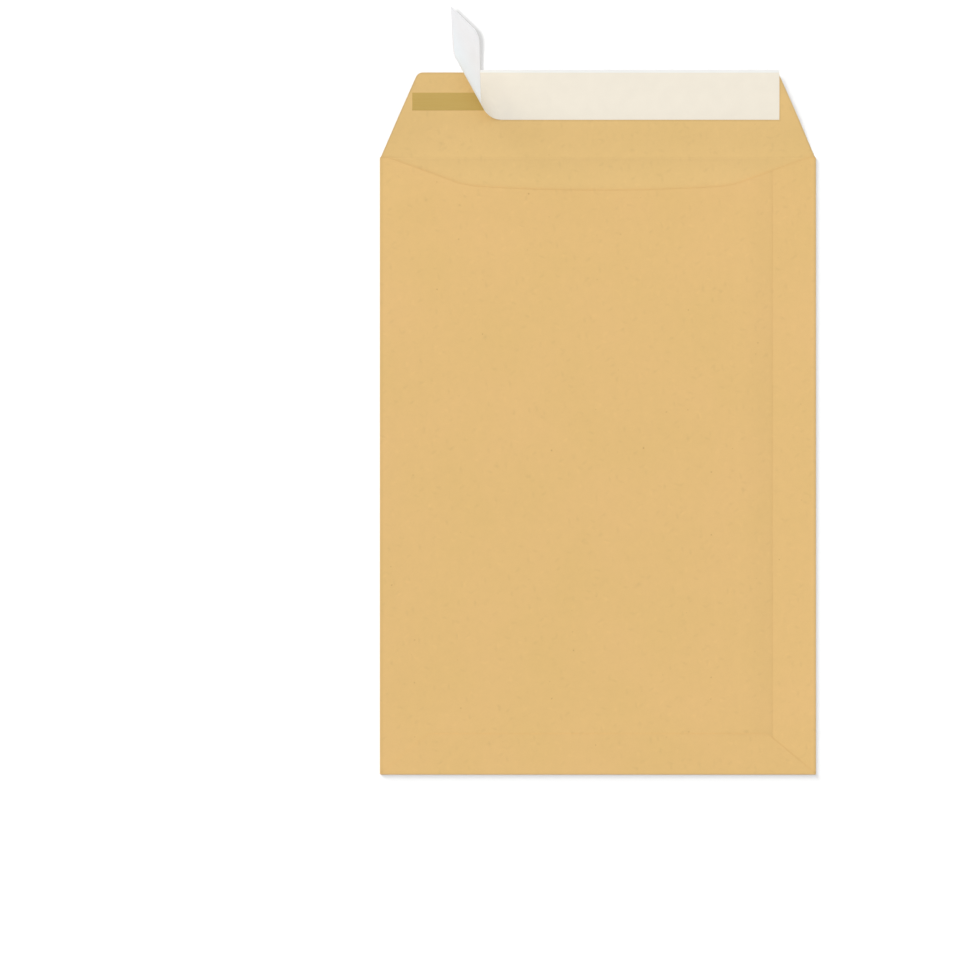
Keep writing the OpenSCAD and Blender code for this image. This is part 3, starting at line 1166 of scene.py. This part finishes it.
    def add_flat(
        self, sheet: ThinSheet, xs: np.ndarray, ys: np.ndarray, z: float, layer: Layer,
        skip: np.ndarray | None = None,
    ) -> None:
        """Add a flat panel, with the relief of its layer.

        Args:
            sheet: Sheet that takes the panel.
            xs: Place across the envelope of each point, rows by columns.
            ys: Place along the envelope of each point.
            z: Level of the panel's middle.
            layer: Level that the panel lies on.
            skip: True for each cell that is a hole.
        """
        if layer is Layer.FRONT:
            lift = np.vectorize(self.relief.lying)(xs, ys)
            dent = np.vectorize(self.score_dent)(ys)
            tone = self.lying_shade(xs, ys)
        else:
            lift = np.vectorize(self.relief.pocket)(xs, ys)
            dent = None
            tone = self.pocket_shade_and_tone(xs, ys, layer)
        if layer is Layer.BACK:
            lift = lift + np.vectorize(self.relief.along_edge)(xs, ys)
            dent = np.vectorize(self.relief.crushed)(xs)
        sheet.add_level(xs, ys, z, layer.facing, lift=lift, dent=dent, tone=tone, skip=skip)

    def lying_shade(self, xs: np.ndarray, ys: np.ndarray) -> np.ndarray:
        """Painted shade on the front panel and closing flap: in the crease, under the throat,
        along the flap's top margin and along its cut edges.

        Args:
            xs: Place across the envelope of each point.
            ys: Place along the envelope of each point.

        Returns:
            Value of the "tone" attribute, 0 for plain paper.
        """
        below = self.fold - ys
        # Painted shade in the crease at the flap fold
        tone = ShadeAndTone.CREASE_SHADE.value * np.exp(-((below / self.score_w - 1) ** 2))
        open_throat = smooth((self.half_w - abs(xs)) / self.corner_w - self.corner_clear)
        shade = (below >= 0) * smooth(1 - below / self.shade_w) * open_throat
        tone += ShadeAndTone.IN_SHADE.value * shade
        # Painted shade along the flap's top margin, between the adhesive and the edge
        margin = smooth((ys - self.flap_top + self.flap_margin) / self.margin_fade)
        tone += ShadeAndTone.MARGIN_SHADE.value * margin
        # Painted shade along the flap's cut sides and top edge
        lean = math.radians(self.flap_lean)
        inside = (self.flap_base + below * math.tan(lean) - abs(xs)) * math.cos(lean)
        inside = np.minimum(inside, self.flap_top - ys)
        return tone + ShadeAndTone.FLAP_EDGE_SHADE.value * (below < 0) * smooth(1 - inside / self.flap_edge_shade_w)

    def pocket_shade_and_tone(self, xs: np.ndarray, ys: np.ndarray, layer: Layer) -> np.ndarray:
        """Tone of the panels over the front one: painted shade on the folds and along the throat's
        and bottom flap's edges, a painted highlight by the right fold, darker paper over the glue,
        and darker towards the bottom.

        Args:
            xs: Place across the envelope of each point.
            ys: Place along the envelope of each point.
            layer: Level that the panel lies on.

        Returns:
            Value of the "tone" attribute, 0 for plain paper.
        """
        tone = np.zeros(xs.shape)
        if layer is not Layer.SEAM:
            # Darker towards the bottom fold
            tone += ShadeAndTone.LOWER_DARKENING.value * smooth((self.fold - ys) / self.lower_darkening_w)
        # Painted shade on the side folds and the paper next to them
        turned = smooth(1 - np.minimum(xs - self.left, self.right - xs) / self.side_shade_w)
        # Painted highlight in the band just inside the right fold
        stretched = smooth((xs - self.right) / self.highlight_w + 1)
        tone += ShadeAndTone.RIGHT_FOLD_HIGHLIGHT.value * stretched * (1 - turned) + ShadeAndTone.SIDE_FOLD_SHADE.value * turned
        # Painted shade on the bottom fold and the paper next to it
        tone += ShadeAndTone.BOTTOM_FOLD_SHADE.value * smooth(1 - (ys - self.bottom) / self.bottom_shade_w)
        if layer is Layer.BACK:
            tone += ShadeAndTone.OVER_GLUE.value * smooth((xs - self.seam_flap) / self.glued_w)
            # Painted shade along the throat's edge, of uneven strength
            tops = np.vectorize(self.throat)(xs)
            rough = np.interp(xs, self.throat_places, self.throat_shade_strength)
            uneven = np.vectorize(self.relief.uneven)(xs, self.relief.throat_seed)
            cut = smooth(1 - (tops - ys) / self.throat_shade_w) * rough
            tone += ShadeAndTone.THROAT_EDGE_SHADE.value * cut * uneven
        if layer in (Layer.BACK, Layer.BOTTOM):
            # Painted shade along the bottom flap's edge
            from_seam = smooth((xs - self.seam_flap + self.line_before) / self.line_fade)
            over_seam = from_seam * (xs < self.back_edge + self.line_past)
            near_edge = np.exp(-(((ys - self.bottom_flap) / self.line_w) ** 2))
            tone += ShadeAndTone.BOTTOM_FLAP_EDGE_SHADE.value * over_seam * near_edge
        return tone

    def add_fold(
        self, sheet: ThinSheet, at: np.ndarray, along_x: bool, sign: float, radius: float,
        level: float, shade_and_tone: ShadeAndTone,
    ) -> None:
        """Add the half-round turn of the paper at a fold.

        Args:
            sheet: Sheet that takes the fold.
            at: Places of its points along the fold's line.
            along_x: True for the bottom fold, False for a side fold.
            sign: Direction in which the fold bulges, 1 or -1.
            radius: Outer radius of the fold.
            level: Place of the line where the flat panels end.
            shade_and_tone: Painted shade on the fold.
        """
        middle_r = radius - self.paper_t / 2
        turn = np.linspace(0, math.pi, self.arc_steps + 1)
        out = level + sign * middle_r * np.sin(turn)
        up = radius - middle_r * np.cos(turn)
        grid = np.zeros((len(at), len(turn), 3))
        normals = np.zeros(grid.shape)
        grid[..., 0 if along_x else 1] = at[:, None]
        grid[..., 1 if along_x else 0] = out[None, :]
        grid[..., 2] = up[None, :]
        normals[..., 1 if along_x else 0] = -sign * np.sin(turn)[None, :]
        normals[..., 2] = np.cos(turn)[None, :]
        sheet.add_patch(grid, normals, tone=np.full(grid.shape[:2], shade_and_tone.value))

    def add_front(self, sheet: ThinSheet) -> None:
        """Add the front panel round its window, and the closing flap."""
        columns, rows = self.columns(), self.rows()
        turn_low, turn_high = self.turn_low, self.turn_high
        below, above = rows <= turn_low + 1e-6, rows >= turn_high - 1e-6
        xs, ys = np.meshgrid(columns, rows)
        for j, x in enumerate(columns):
            inside = min(x - self.window_left, self.window_right - x)
            if inside <= 0:
                continue
            across = max(0.0, self.window_r - inside)
            reach = math.sqrt(self.window_r ** 2 - across ** 2)
            ys[below, j] = np.interp(
                rows[below], [self.bottom, turn_low], [self.bottom, turn_low - reach],
            )
            ys[above, j] = np.interp(
                rows[above], [turn_high, self.fold], [turn_high + reach, self.fold],
            )
        centre_x = (columns[:-1] + columns[1:]) / 2
        centre_y = (rows[:-1] + rows[1:]) / 2
        skip = np.outer(
            (centre_y > turn_low) & (centre_y < turn_high),
            (centre_x > self.window_left) & (centre_x < self.window_right),
        )
        self.add_flat(sheet, xs, ys, self.paper_t / 2, Layer.FRONT, skip)

        flap_y, widths = self.flap_rows(
            self.fold, self.flap_top, self.flap_base, math.radians(self.flap_lean), self.flap_r,
        )
        base = columns[np.abs(columns) <= self.flap_base + 0.001]
        xs = np.outer(widths / self.flap_base, base)
        ys = np.repeat(flap_y[:, None], len(base), axis=1)
        self.add_flat(sheet, xs, ys, self.paper_t / 2, Layer.FRONT)

    def add_pocket_panel(
        self, sheet: ThinSheet, columns: np.ndarray, z: float, layer: Layer,
    ) -> None:
        """Add a panel that is cut to the throat.

        Args:
            sheet: Sheet that takes the panel.
            columns: Places of its points across the envelope.
            z: Level of the panel's middle.
            layer: Level that the panel lies on.
        """
        rows = self.rows()
        tops = np.array([self.throat(x) for x in columns])
        held = min(self.throat(self.left), self.throat(self.right))
        share = (tops - self.bottom) / (self.fold - self.bottom)
        share[tops >= held] = 1.0
        xs, ys = np.meshgrid(columns, rows)
        ys = self.bottom + (ys - self.bottom) * share[None, :]
        self.add_flat(sheet, xs, ys, z, layer)

    def add_bottom_flap(self, sheet: ThinSheet) -> None:
        """Add the bottom flap, which is folded up over the back panel."""
        columns = self.columns()
        base_x = min(-self.left, self.right)
        lean = math.atan2(
            base_x - (self.half_w - self.bottom_flap_taper), self.bottom_flap - self.bottom,
        )
        flap_y, widths = self.flap_rows(
            self.bottom, self.bottom_flap, base_x, lean, self.bottom_flap_r,
        )
        xs = np.outer(widths / base_x, columns)
        ys = np.repeat(flap_y[:, None], len(columns), axis=1)
        z = self.bottom_flap_z + self.paper_t / 2
        self.add_flat(sheet, xs, ys, z, Layer.BOTTOM)

    def build(self, finishes: dict[Side, Material]) -> Piece:
        """Build the folded sheet in place of its CAD solid.

        Args:
            finishes: Material of each side of the paper.

        Returns:
            The dressed piece.
        """
        sheet = ThinSheet(self.paper_t)
        rows, columns = self.rows(), self.columns()
        half = self.paper_t / 2
        self.add_front(sheet)
        # The folds' half-rounds carry painted shade
        self.add_fold(sheet, rows, False, -1.0, self.left_r, self.left, ShadeAndTone.SIDE_FOLD_SHADE)
        self.add_fold(sheet, rows, False, 1.0, self.right_r, self.right, ShadeAndTone.SIDE_FOLD_SHADE)
        self.add_fold(sheet, columns, True, -1.0, self.bottom_r, self.bottom, ShadeAndTone.BOTTOM_FOLD_SHADE)
        # Finer steps where the side folds' painted shade and the right fold's painted highlight
        # change
        turned, stretched = self.left + self.side_shade_w, self.right - self.highlight_w - self.side_shade_w
        before, past = self.seam_flap - self.seam_before, self.seam_flap + self.seam_past
        crushed = self.back_edge - self.crush_before
        back = joined(
            steps(self.left, turned, self.turn_pitch),
            steps(turned, before, self.pitch),
            steps(before, past, self.edge_pitch),
            steps(past, crushed, self.pitch),
            steps(crushed, self.back_edge, self.crush_pitch),
        )
        self.add_pocket_panel(sheet, back, self.back_z + half, Layer.BACK)
        seam = joined(
            steps(self.seam_flap, stretched, self.pitch),
            steps(stretched, self.right, self.turn_pitch),
        )
        self.add_pocket_panel(sheet, seam, self.seam_z + half, Layer.SEAM)
        self.add_bottom_flap(sheet)
        return sheet.build("kraft_blank", finishes)


@dataclass
class ReleaseLiner:
    """Paper strip over the adhesive, stuck down on the right and curled up on the left."""

    low: Vector
    high: Vector
    relief: PaperRelief
    flap_top: float
    liner_w: float = 26.0
    liner_t: float = 0.08
    reach: float = 1.2
    stuck: float = 144.7
    peeled: float = 61.2
    corner_r: float = 5.0
    lean: float = 28.8
    tight_r: float = 6.2
    turn: float = 54.0
    open_r: float = 15.8
    lift: float = 106.0
    curl_rows: int = 120
    corner_steps: int = 10
    pitch: float = 1.6
    flat_pitch: float = 4.0
    # Width over which the flap's tone fades out at the flap's edge
    edge_fade: float = 0.35
    # Lengths past the peel line between which the paper's tone by the flap fades out
    toned: tuple[float, float] = (18.0, 40.0)
    # Lengths before and past the peel line over which the painted shade by the peel fades out
    peel_shade_reach: tuple[float, float] = (15.0, 7.0)
    # Length past the peel line along which the strip still follows the flap's unevenness
    held: float = 48.0

    def lying_edges(self) -> tuple[float, float, float]:
        """Left, right and lower edges of the stretch that lies on the flap."""
        right = self.high.x / MM
        return right - self.stuck, right, self.flap_top + self.reach - self.liner_w

    def bent(self, s: float) -> tuple[float, float, float]:
        """Curve of the liner at right angles to its rulings.

        Args:
            s: Distance past the line where the liner leaves the flap.

        Returns:
            Run along the flap, rise above it, and slope in radians.
        """
        turn, lift = math.radians(self.turn), math.radians(self.lift)
        tight = self.tight_r * turn
        opened = tight + self.open_r * (lift - turn)
        if s <= tight:
            slope = max(0.0, s) / self.tight_r
        else:
            slope = min(lift, turn + (s - tight) / self.open_r)
        first, second = min(slope, turn), max(slope, turn)
        beyond = max(0.0, s - opened)
        run = min(0.0, s) + self.tight_r * math.sin(first) + beyond * math.cos(lift)
        run += self.open_r * (math.sin(second) - math.sin(turn))
        rise = self.tight_r * (1 - math.cos(first)) + beyond * math.sin(lift)
        rise += self.open_r * (math.cos(turn) - math.cos(second))
        return run, rise, slope

    def point(self, u: float, v: float) -> tuple[np.ndarray, np.ndarray]:
        """Middle point of the liner and the direction of its upper face.

        Args:
            u: Distance left of the peel line, along the strip.
            v: Distance up from its lower edge, across the strip.

        Returns:
            The point and the unit direction.
        """
        lean = math.radians(self.lean)
        ruling = np.array([-math.sin(lean), math.cos(lean), 0.0])
        ahead = np.array([-math.cos(lean), -math.sin(lean), 0.0])
        up = np.array([0.0, 0.0, 1.0])
        run, rise, slope = self.bent(u * math.cos(lean) - v * math.sin(lean))
        along = u * math.sin(lean) + v * math.cos(lean)
        upper = up * math.cos(slope) - ahead * math.sin(slope)
        left, _, front = self.lying_edges()
        corner = np.array([left, front, self.low.z / MM])
        return corner + ruling * along + ahead * run + up * rise + upper * self.liner_t / 2, upper

    def build(self, finishes: dict[Side, Material]) -> Piece:
        """Build the liner in place of its CAD solid.

        Args:
            finishes: Material of each side of the liner.

        Returns:
            The dressed piece.
        """
        lean = math.radians(self.lean)
        flat = steps(0.0, 1.0, self.flat_pitch / self.stuck)[:-1]
        shares = [f - 1.0 for f in flat] + [k / self.curl_rows for k in range(self.curl_rows + 1)]
        over_flap = self.liner_w - self.reach
        across = joined(
            rounding(self.corner_r, self.corner_steps),
            steps(self.corner_r, over_flap - self.edge_fade, self.pitch),
            [over_flap, self.liner_w],
        )
        shape = (len(shares), len(across))
        grid, normals = np.zeros(shape + (3,)), np.zeros(shape + (3,))
        lift, tone = np.zeros(shape), np.zeros(shape)
        for i, share in enumerate(shares):
            for j, v in enumerate(across):
                leave = v * math.tan(lean)
                cut = self.corner_r - min(self.corner_r, v)
                inset = self.corner_r - math.sqrt(self.corner_r ** 2 - cut ** 2)
                if share < 0:
                    u = leave * (1 + share) + self.stuck * share
                else:
                    u = leave * (1 - share) + (self.peeled - inset) * share
                grid[i, j], normals[i, j] = self.point(u, v)
                ahead = u * math.cos(lean) - v * math.sin(lean)
                past = max(0.0, ahead)
                held = float(smooth(1 - past / self.held))
                lift[i, j] = held * self.relief.lying(grid[i, j, 0], grid[i, j, 1])
                near = float(smooth((self.toned[1] - past) / (self.toned[1] - self.toned[0])))
                # Painted shade by the peel line: in the lee of the curl on the upper face, and in
                # the crevice under the bend on the coated face
                peel_shade = float(smooth(1 - max(-ahead / self.peel_shade_reach[0], ahead / self.peel_shade_reach[1])))
                tone[i, j] = (near + peel_shade) * float(smooth((over_flap - v) / self.edge_fade))
        sheet = ThinSheet(self.liner_t)
        sheet.add_patch(grid, normals, lift, tone=tone)
        return sheet.build("liner_strip", finishes)


@dataclass
class AdhesiveBand:
    """Self-seal adhesive on the closing flap, with the soft bead of a slot nozzle at its edges."""

    low: Vector
    high: Vector
    relief: PaperRelief
    pitch: float = 1.6
    end_wander: float = 0.12
    # Changes of the wander in a millimetre, the distance between both ends' patterns, the seed
    wander_rate: float = 1.3
    wander_apart: float = 4.0
    wander_seed: float = 0.5
    bead: float = 0.25

    def build(self, adhesive: Material) -> Piece:
        """Build the band in place of its CAD solid.

        Args:
            adhesive: Material of the adhesive.

        Returns:
            The dressed piece.
        """
        left, front, under = in_mm(self.low)
        right, back, over = in_mm(self.high)
        thickness = over - under
        columns = np.array(steps(left, right, self.pitch))
        rows = joined([front], steps(front + self.bead, back - self.bead, self.pitch), [back])
        xs, ys = np.meshgrid(columns, rows)
        for j, inward in ((0, 1), (-1, -1)):
            for i, y in enumerate(rows):
                spot = Vector((y * self.wander_rate, self.wander_apart * j, self.wander_seed))
                xs[i, j] += inward * self.end_wander * abs(noise.noise(spot))
        lift = np.vectorize(self.relief.lying)(xs, ys)
        rim = (ys < front + self.bead / 2) | (ys > back - self.bead / 2)
        # The band is a third thinner at its rims
        dent = np.where(rim, thickness / 3, 0.0)
        sheet = ThinSheet(thickness)
        sheet.add_level(xs, ys, under + thickness / 2, lift=lift, dent=dent)
        return sheet.build("adhesive_band", dict.fromkeys(Side, adhesive))


@dataclass
class FilmPane:
    """Clear film behind the window, a little rippled between its glue lines."""

    low: Vector
    high: Vector
    corner_r: float = 3.0
    pitch: float = 3.0
    ripple: float = 0.1
    ripple_size: float = 30.0
    ripple_seed: float = 2.0
    # Width that is glued down, and width past it over which the film comes free
    glued: float = 8.0
    hold: float = 16.0
    arc_steps: int = 6

    def build(self, film: Material) -> Piece:
        """Build the film in place of its CAD solid.

        Args:
            film: Material of the film.

        Returns:
            The dressed piece.
        """
        left, front, under = in_mm(self.low)
        right, back, over = in_mm(self.high)
        thickness = over - under
        turn = rounding(self.corner_r, self.arc_steps)
        columns = joined(
            [left + t for t in turn], [right - t for t in turn],
            steps(left + self.corner_r, right - self.corner_r, self.pitch),
        )
        shares = np.array(steps(0.0, 1.0, self.pitch / (back - front)))
        xs, ys = np.meshgrid(columns, shares)
        for j, x in enumerate(columns):
            across = max(0.0, self.corner_r - min(x - left, right - x))
            inset = self.corner_r - math.sqrt(max(0.0, self.corner_r ** 2 - across ** 2))
            ys[:, j] = front + inset + shares * (back - front - 2 * inset)
        lift = np.zeros(xs.shape)
        for i, j in np.ndindex(xs.shape):
            x, y = float(xs[i, j]), float(ys[i, j])
            free = min(x - left, right - x, y - front, back - y) - self.glued
            spot = Vector((x / self.ripple_size, y / self.ripple_size, self.ripple_seed))
            wave = 0.5 + noise.noise(spot)
            lift[i, j] = self.ripple * float(smooth(free / self.hold)) * wave
        sheet = ThinSheet(thickness)
        sheet.add_level(xs, ys, under + thickness / 2, lift=np.maximum(lift, 0.0))
        return sheet.build("film_pane", dict.fromkeys(Side, film))


@dataclass(frozen=True)
class SoftLamp:
    """Broad lamp far away, set by the share that it gives of a level surface's light."""

    name: str
    share: float
    # Clockwise from the top of the photograph, in degrees
    bearing: float
    elevation: float
    # Width of the lamp as seen from the table, in degrees
    spread: float

    def build(
        self,
        lit: list[Piece] | None = None,
        shading: list[Piece] | None = None,
        passed: list[Piece] | None = None,
    ) -> None:
        """Build the lamp.

        Args:
            lit: The only objects that it lights, or None for all.
            shading: The only objects that cast its shadows, or None for all.
            passed: Objects that its light passes, or None for none.
        """
        bearing, elevation = math.radians(self.bearing), math.radians(self.elevation)
        direction = Vector((
            math.sin(bearing) * math.cos(elevation),
            math.cos(bearing) * math.cos(elevation),
            math.sin(elevation),
        ))
        light = bpy.data.lights.new(self.name, "SUN")
        light.angle = math.radians(self.spread)
        light.energy = self.share * math.pi / direction.z
        lamp = bpy.data.objects.new(self.name, light)
        lamp.rotation_euler = direction.to_track_quat("Z", "Y").to_euler()
        bpy.context.scene.collection.objects.link(lamp)
        if lit is not None:
            lamp.light_linking.receiver_collection = self.linked("lit", lit, "INCLUDE")
        if shading is not None:
            lamp.light_linking.blocker_collection = self.linked("shading", shading, "INCLUDE")
        if passed is not None:
            lamp.light_linking.blocker_collection = self.linked("passed", passed, "EXCLUDE")

    def linked(self, use: str, pieces: list[Piece], state: str) -> bpy.types.Collection:
        """Collect the pieces that the lamp treats in one way.

        Args:
            use: What the collection is for, used in its name.
            pieces: Objects of the collection.
            state: "INCLUDE" or "EXCLUDE".

        Returns:
            The collection.
        """
        collection = bpy.data.collections.new(f"{self.name}_{use}")
        for piece in pieces:
            collection.objects.link(piece)
        for entry in collection.collection_objects:
            entry.light_linking.link_state = state
        return collection


@dataclass
class Studio:
    """White table, even sky light, broad soft lamps, and the camera."""

    # Pixels of the photograph that one millimetre on the table takes
    scale_px: float = 1.903
    # Pixels of the body's middle line and bottom edge in the photograph
    body_middle_px: float = 597.8
    body_bottom_px: float = 774.4
    camera_height: float = 600.0
    sensor: float = 36.0
    # Distance in metres nearer than which nothing is drawn
    nearest: float = 0.01
    sky: float = 0.6
    key: SoftLamp = SoftLamp("soft_key", 0.29, -45.0, 32.0, 30.0)
    # The share of the key light that the standing liner shades
    shaded_key: SoftLamp = SoftLamp("shaded_key", 0.06, -45.0, 32.0, 30.0)
    # A reflector on the right keeps the liner's bend from going dark
    reflector: SoftLamp = SoftLamp("right_reflector", 0.05, 62.0, 24.0, 40.0)
    # Low light that only draws the soft shadows of the envelope and its liner on the table
    rake: SoftLamp = SoftLamp("table_rake", 0.55, -45.0, 13.0, 18.0)
    # Light from beside the camera that only draws the liner's shadow on the table
    flash: SoftLamp = SoftLamp("camera_flash", 0.92, 188.0, 69.2, 2.6)
    # Width in metres, and depth in millimetres under the envelope so that they don't touch
    table_size: float = 12.0
    table_drop: float = 0.02
    table_tone: float = 0.425

    def add_camera(self, bottom: float) -> None:
        """Put the camera over the point of the table that is the photograph's centre.

        Args:
            bottom: Place of the envelope's bottom edge along it, in millimetres.
        """
        middle_px = PHOTO_SIDE_PX / 2
        width = PHOTO_SIDE_PX / self.scale_px
        lens = bpy.data.cameras.new("photo_camera")
        lens.sensor_width = self.sensor
        lens.lens = self.sensor * self.camera_height / width
        lens.clip_start = self.nearest
        camera = bpy.data.objects.new("photo_camera", lens)
        camera.location = (
            (middle_px - self.body_middle_px) / self.scale_px * MM,
            (bottom + (self.body_bottom_px - middle_px) / self.scale_px) * MM,
            self.camera_height * MM,
        )
        bpy.context.scene.collection.objects.link(camera)
        bpy.context.scene.camera = camera

    def add_lights(self, pieces: list[Piece], liner: Piece, table: Piece) -> None:
        """Light a level surface to 1, so that a colour renders about as it is written.

        Args:
            pieces: All dressed pieces of the envelope.
            liner: The one that stands up, whose shadow is drawn by a lamp of its own.
            table: The table.
        """
        self.key.build(passed=[liner])
        self.shaded_key.build()
        self.reflector.build(passed=[piece for piece in pieces if piece is not liner])
        self.rake.build(lit=[table])
        self.flash.build(lit=[table], shading=[liner])

        world = bpy.data.worlds.new("white_room")
        world.use_nodes = True
        tree = world.node_tree
        tree.nodes.clear()
        seen = self.seen_directly(tree)
        strength = add_node(tree, "ShaderNodeMapRange", links={
            "Value": seen, "To Min": self.sky, "To Max": 1.0,
        }).outputs["Result"]
        sky = add_node(tree, "ShaderNodeBackground", links={
            "Color": srgb("#ffffff"), "Strength": strength,
        })
        add_node(tree, "ShaderNodeOutputWorld", links={"Surface": sky.outputs["Background"]})
        bpy.context.scene.world = world

    def seen_directly(self, tree: Tree) -> Socket:
        """Tell rays that show the background from those that light the object.

        Args:
            tree: Node tree that takes the nodes.

        Returns:
            Socket that is 1 for camera, glossy and transmission rays.
        """
        path = add_node(tree, "ShaderNodeLightPath").outputs
        shiny = add_node(tree, "ShaderNodeMath", {"operation": "MAXIMUM"}, {
            0: path["Is Glossy Ray"], 1: path["Is Transmission Ray"],
        }).outputs[0]
        return add_node(tree, "ShaderNodeMath", {"operation": "MAXIMUM"}, {
            0: path["Is Camera Ray"], 1: shiny,
        }).outputs[0]

    def add_table(self) -> Piece:
        """Add the white table, which keeps the shadow and is clear from below.

        Returns:
            The table.
        """
        material, tree = new_material("white_laminate")
        top = add_node(tree, "ShaderNodeBsdfDiffuse", links={
            "Color": (self.table_tone, self.table_tone, self.table_tone, 1.0),
        }).outputs["BSDF"]
        clear = add_node(tree, "ShaderNodeBsdfTransparent").outputs["BSDF"]
        below = add_node(tree, "ShaderNodeNewGeometry").outputs["Backfacing"]
        surface = add_node(tree, "ShaderNodeMixShader", links={0: below, 1: top, 2: clear})
        add_node(tree, "ShaderNodeOutputMaterial", links={"Surface": surface.outputs[0]})
        half = self.table_size / 2
        level = -self.table_drop * MM
        mesh = bpy.data.meshes.new("table")
        mesh.from_pydata(
            [(-half, -half, level), (half, -half, level), (half, half, level),
             (-half, half, level)], [], [(0, 1, 2, 3)],
        )
        mesh.materials.append(material)
        table = bpy.data.objects.new("table", mesh)
        bpy.context.scene.collection.objects.link(table)
        return table


def place(piece: Piece, node: str, slot: str) -> None:
    """Let a dressed piece stand for its CAD node, and report it.

    Args:
        piece: The dressed piece.
        node: CAD node that it replaces.
        slot: Material slot of the record; not used.
    """
    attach(piece, "root")
    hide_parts(node)
    LOG.info("%s stands for %s, %d faces", piece.name, node, len(piece.data.polygons))


def main() -> None:
    """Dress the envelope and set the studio."""
    logging.basicConfig(level=logging.INFO, format="%(name)s: %(message)s")
    blank = EnvelopeBlank(*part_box("paper_blank"))
    glazed = KraftPaper("machine_glazed_kraft", "#e5bd7d", "#e2bc7a").build()
    liner = ReleaseLiner(*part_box("release_liner"), blank.relief, blank.flap_top)
    unglazed = KraftPaper(
        "unglazed_kraft", "#e5c080", "#e2be7d", strip=liner.lying_edges(), roughness=0.76,
    ).build()
    paper = blank.build({Side.INNER: unglazed, Side.OUTER: glazed, Side.EDGE: unglazed})
    place(paper, "paper_blank", "kraft_paper")

    # Each face's third colour is the painted shade by the peel line
    upper = LinerPaper("glassine_upper_face", "#f1e9d9", "#f1f1ee", "#eae3d5", 0.58).build()
    coated = LinerPaper("silicone_coated_face", "#f1f9ff", "#f1f2f5", "#6b665c", 0.5).build()
    strip = liner.build({Side.INNER: upper, Side.OUTER: coated, Side.EDGE: upper})
    place(strip, "release_liner", "liner_paper")

    hotmelt = PressureAdhesive("rubber_hotmelt", "#c2a256", "#c6a75e", 0.46).build()
    band = AdhesiveBand(*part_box("flap_adhesive"), blank.relief).build(hotmelt)
    place(band, "flap_adhesive", "adhesive")

    film = FilmPane(*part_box("window_film")).build(WindowFilm().build())
    place(film, "window_film", "clear_film")

    dextrin = PressureAdhesive("dried_dextrin_glue", "#e6dab4", "#efe8cc", 0.5).build()
    for name in ("window_glue", "seam_glue", "bottom_flap_glue"):
        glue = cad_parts[name]
        glue.data.materials.clear()
        glue.data.materials.append(dextrin)
        LOG.info("%s keeps its CAD solid", name)

    studio = Studio()
    studio.add_camera(-blank.fold)
    studio.add_lights([paper, strip, band, film], strip, studio.add_table())
    bpy.context.scene.view_settings.view_transform = "Standard"


if __name__ == "__main__":
    main()
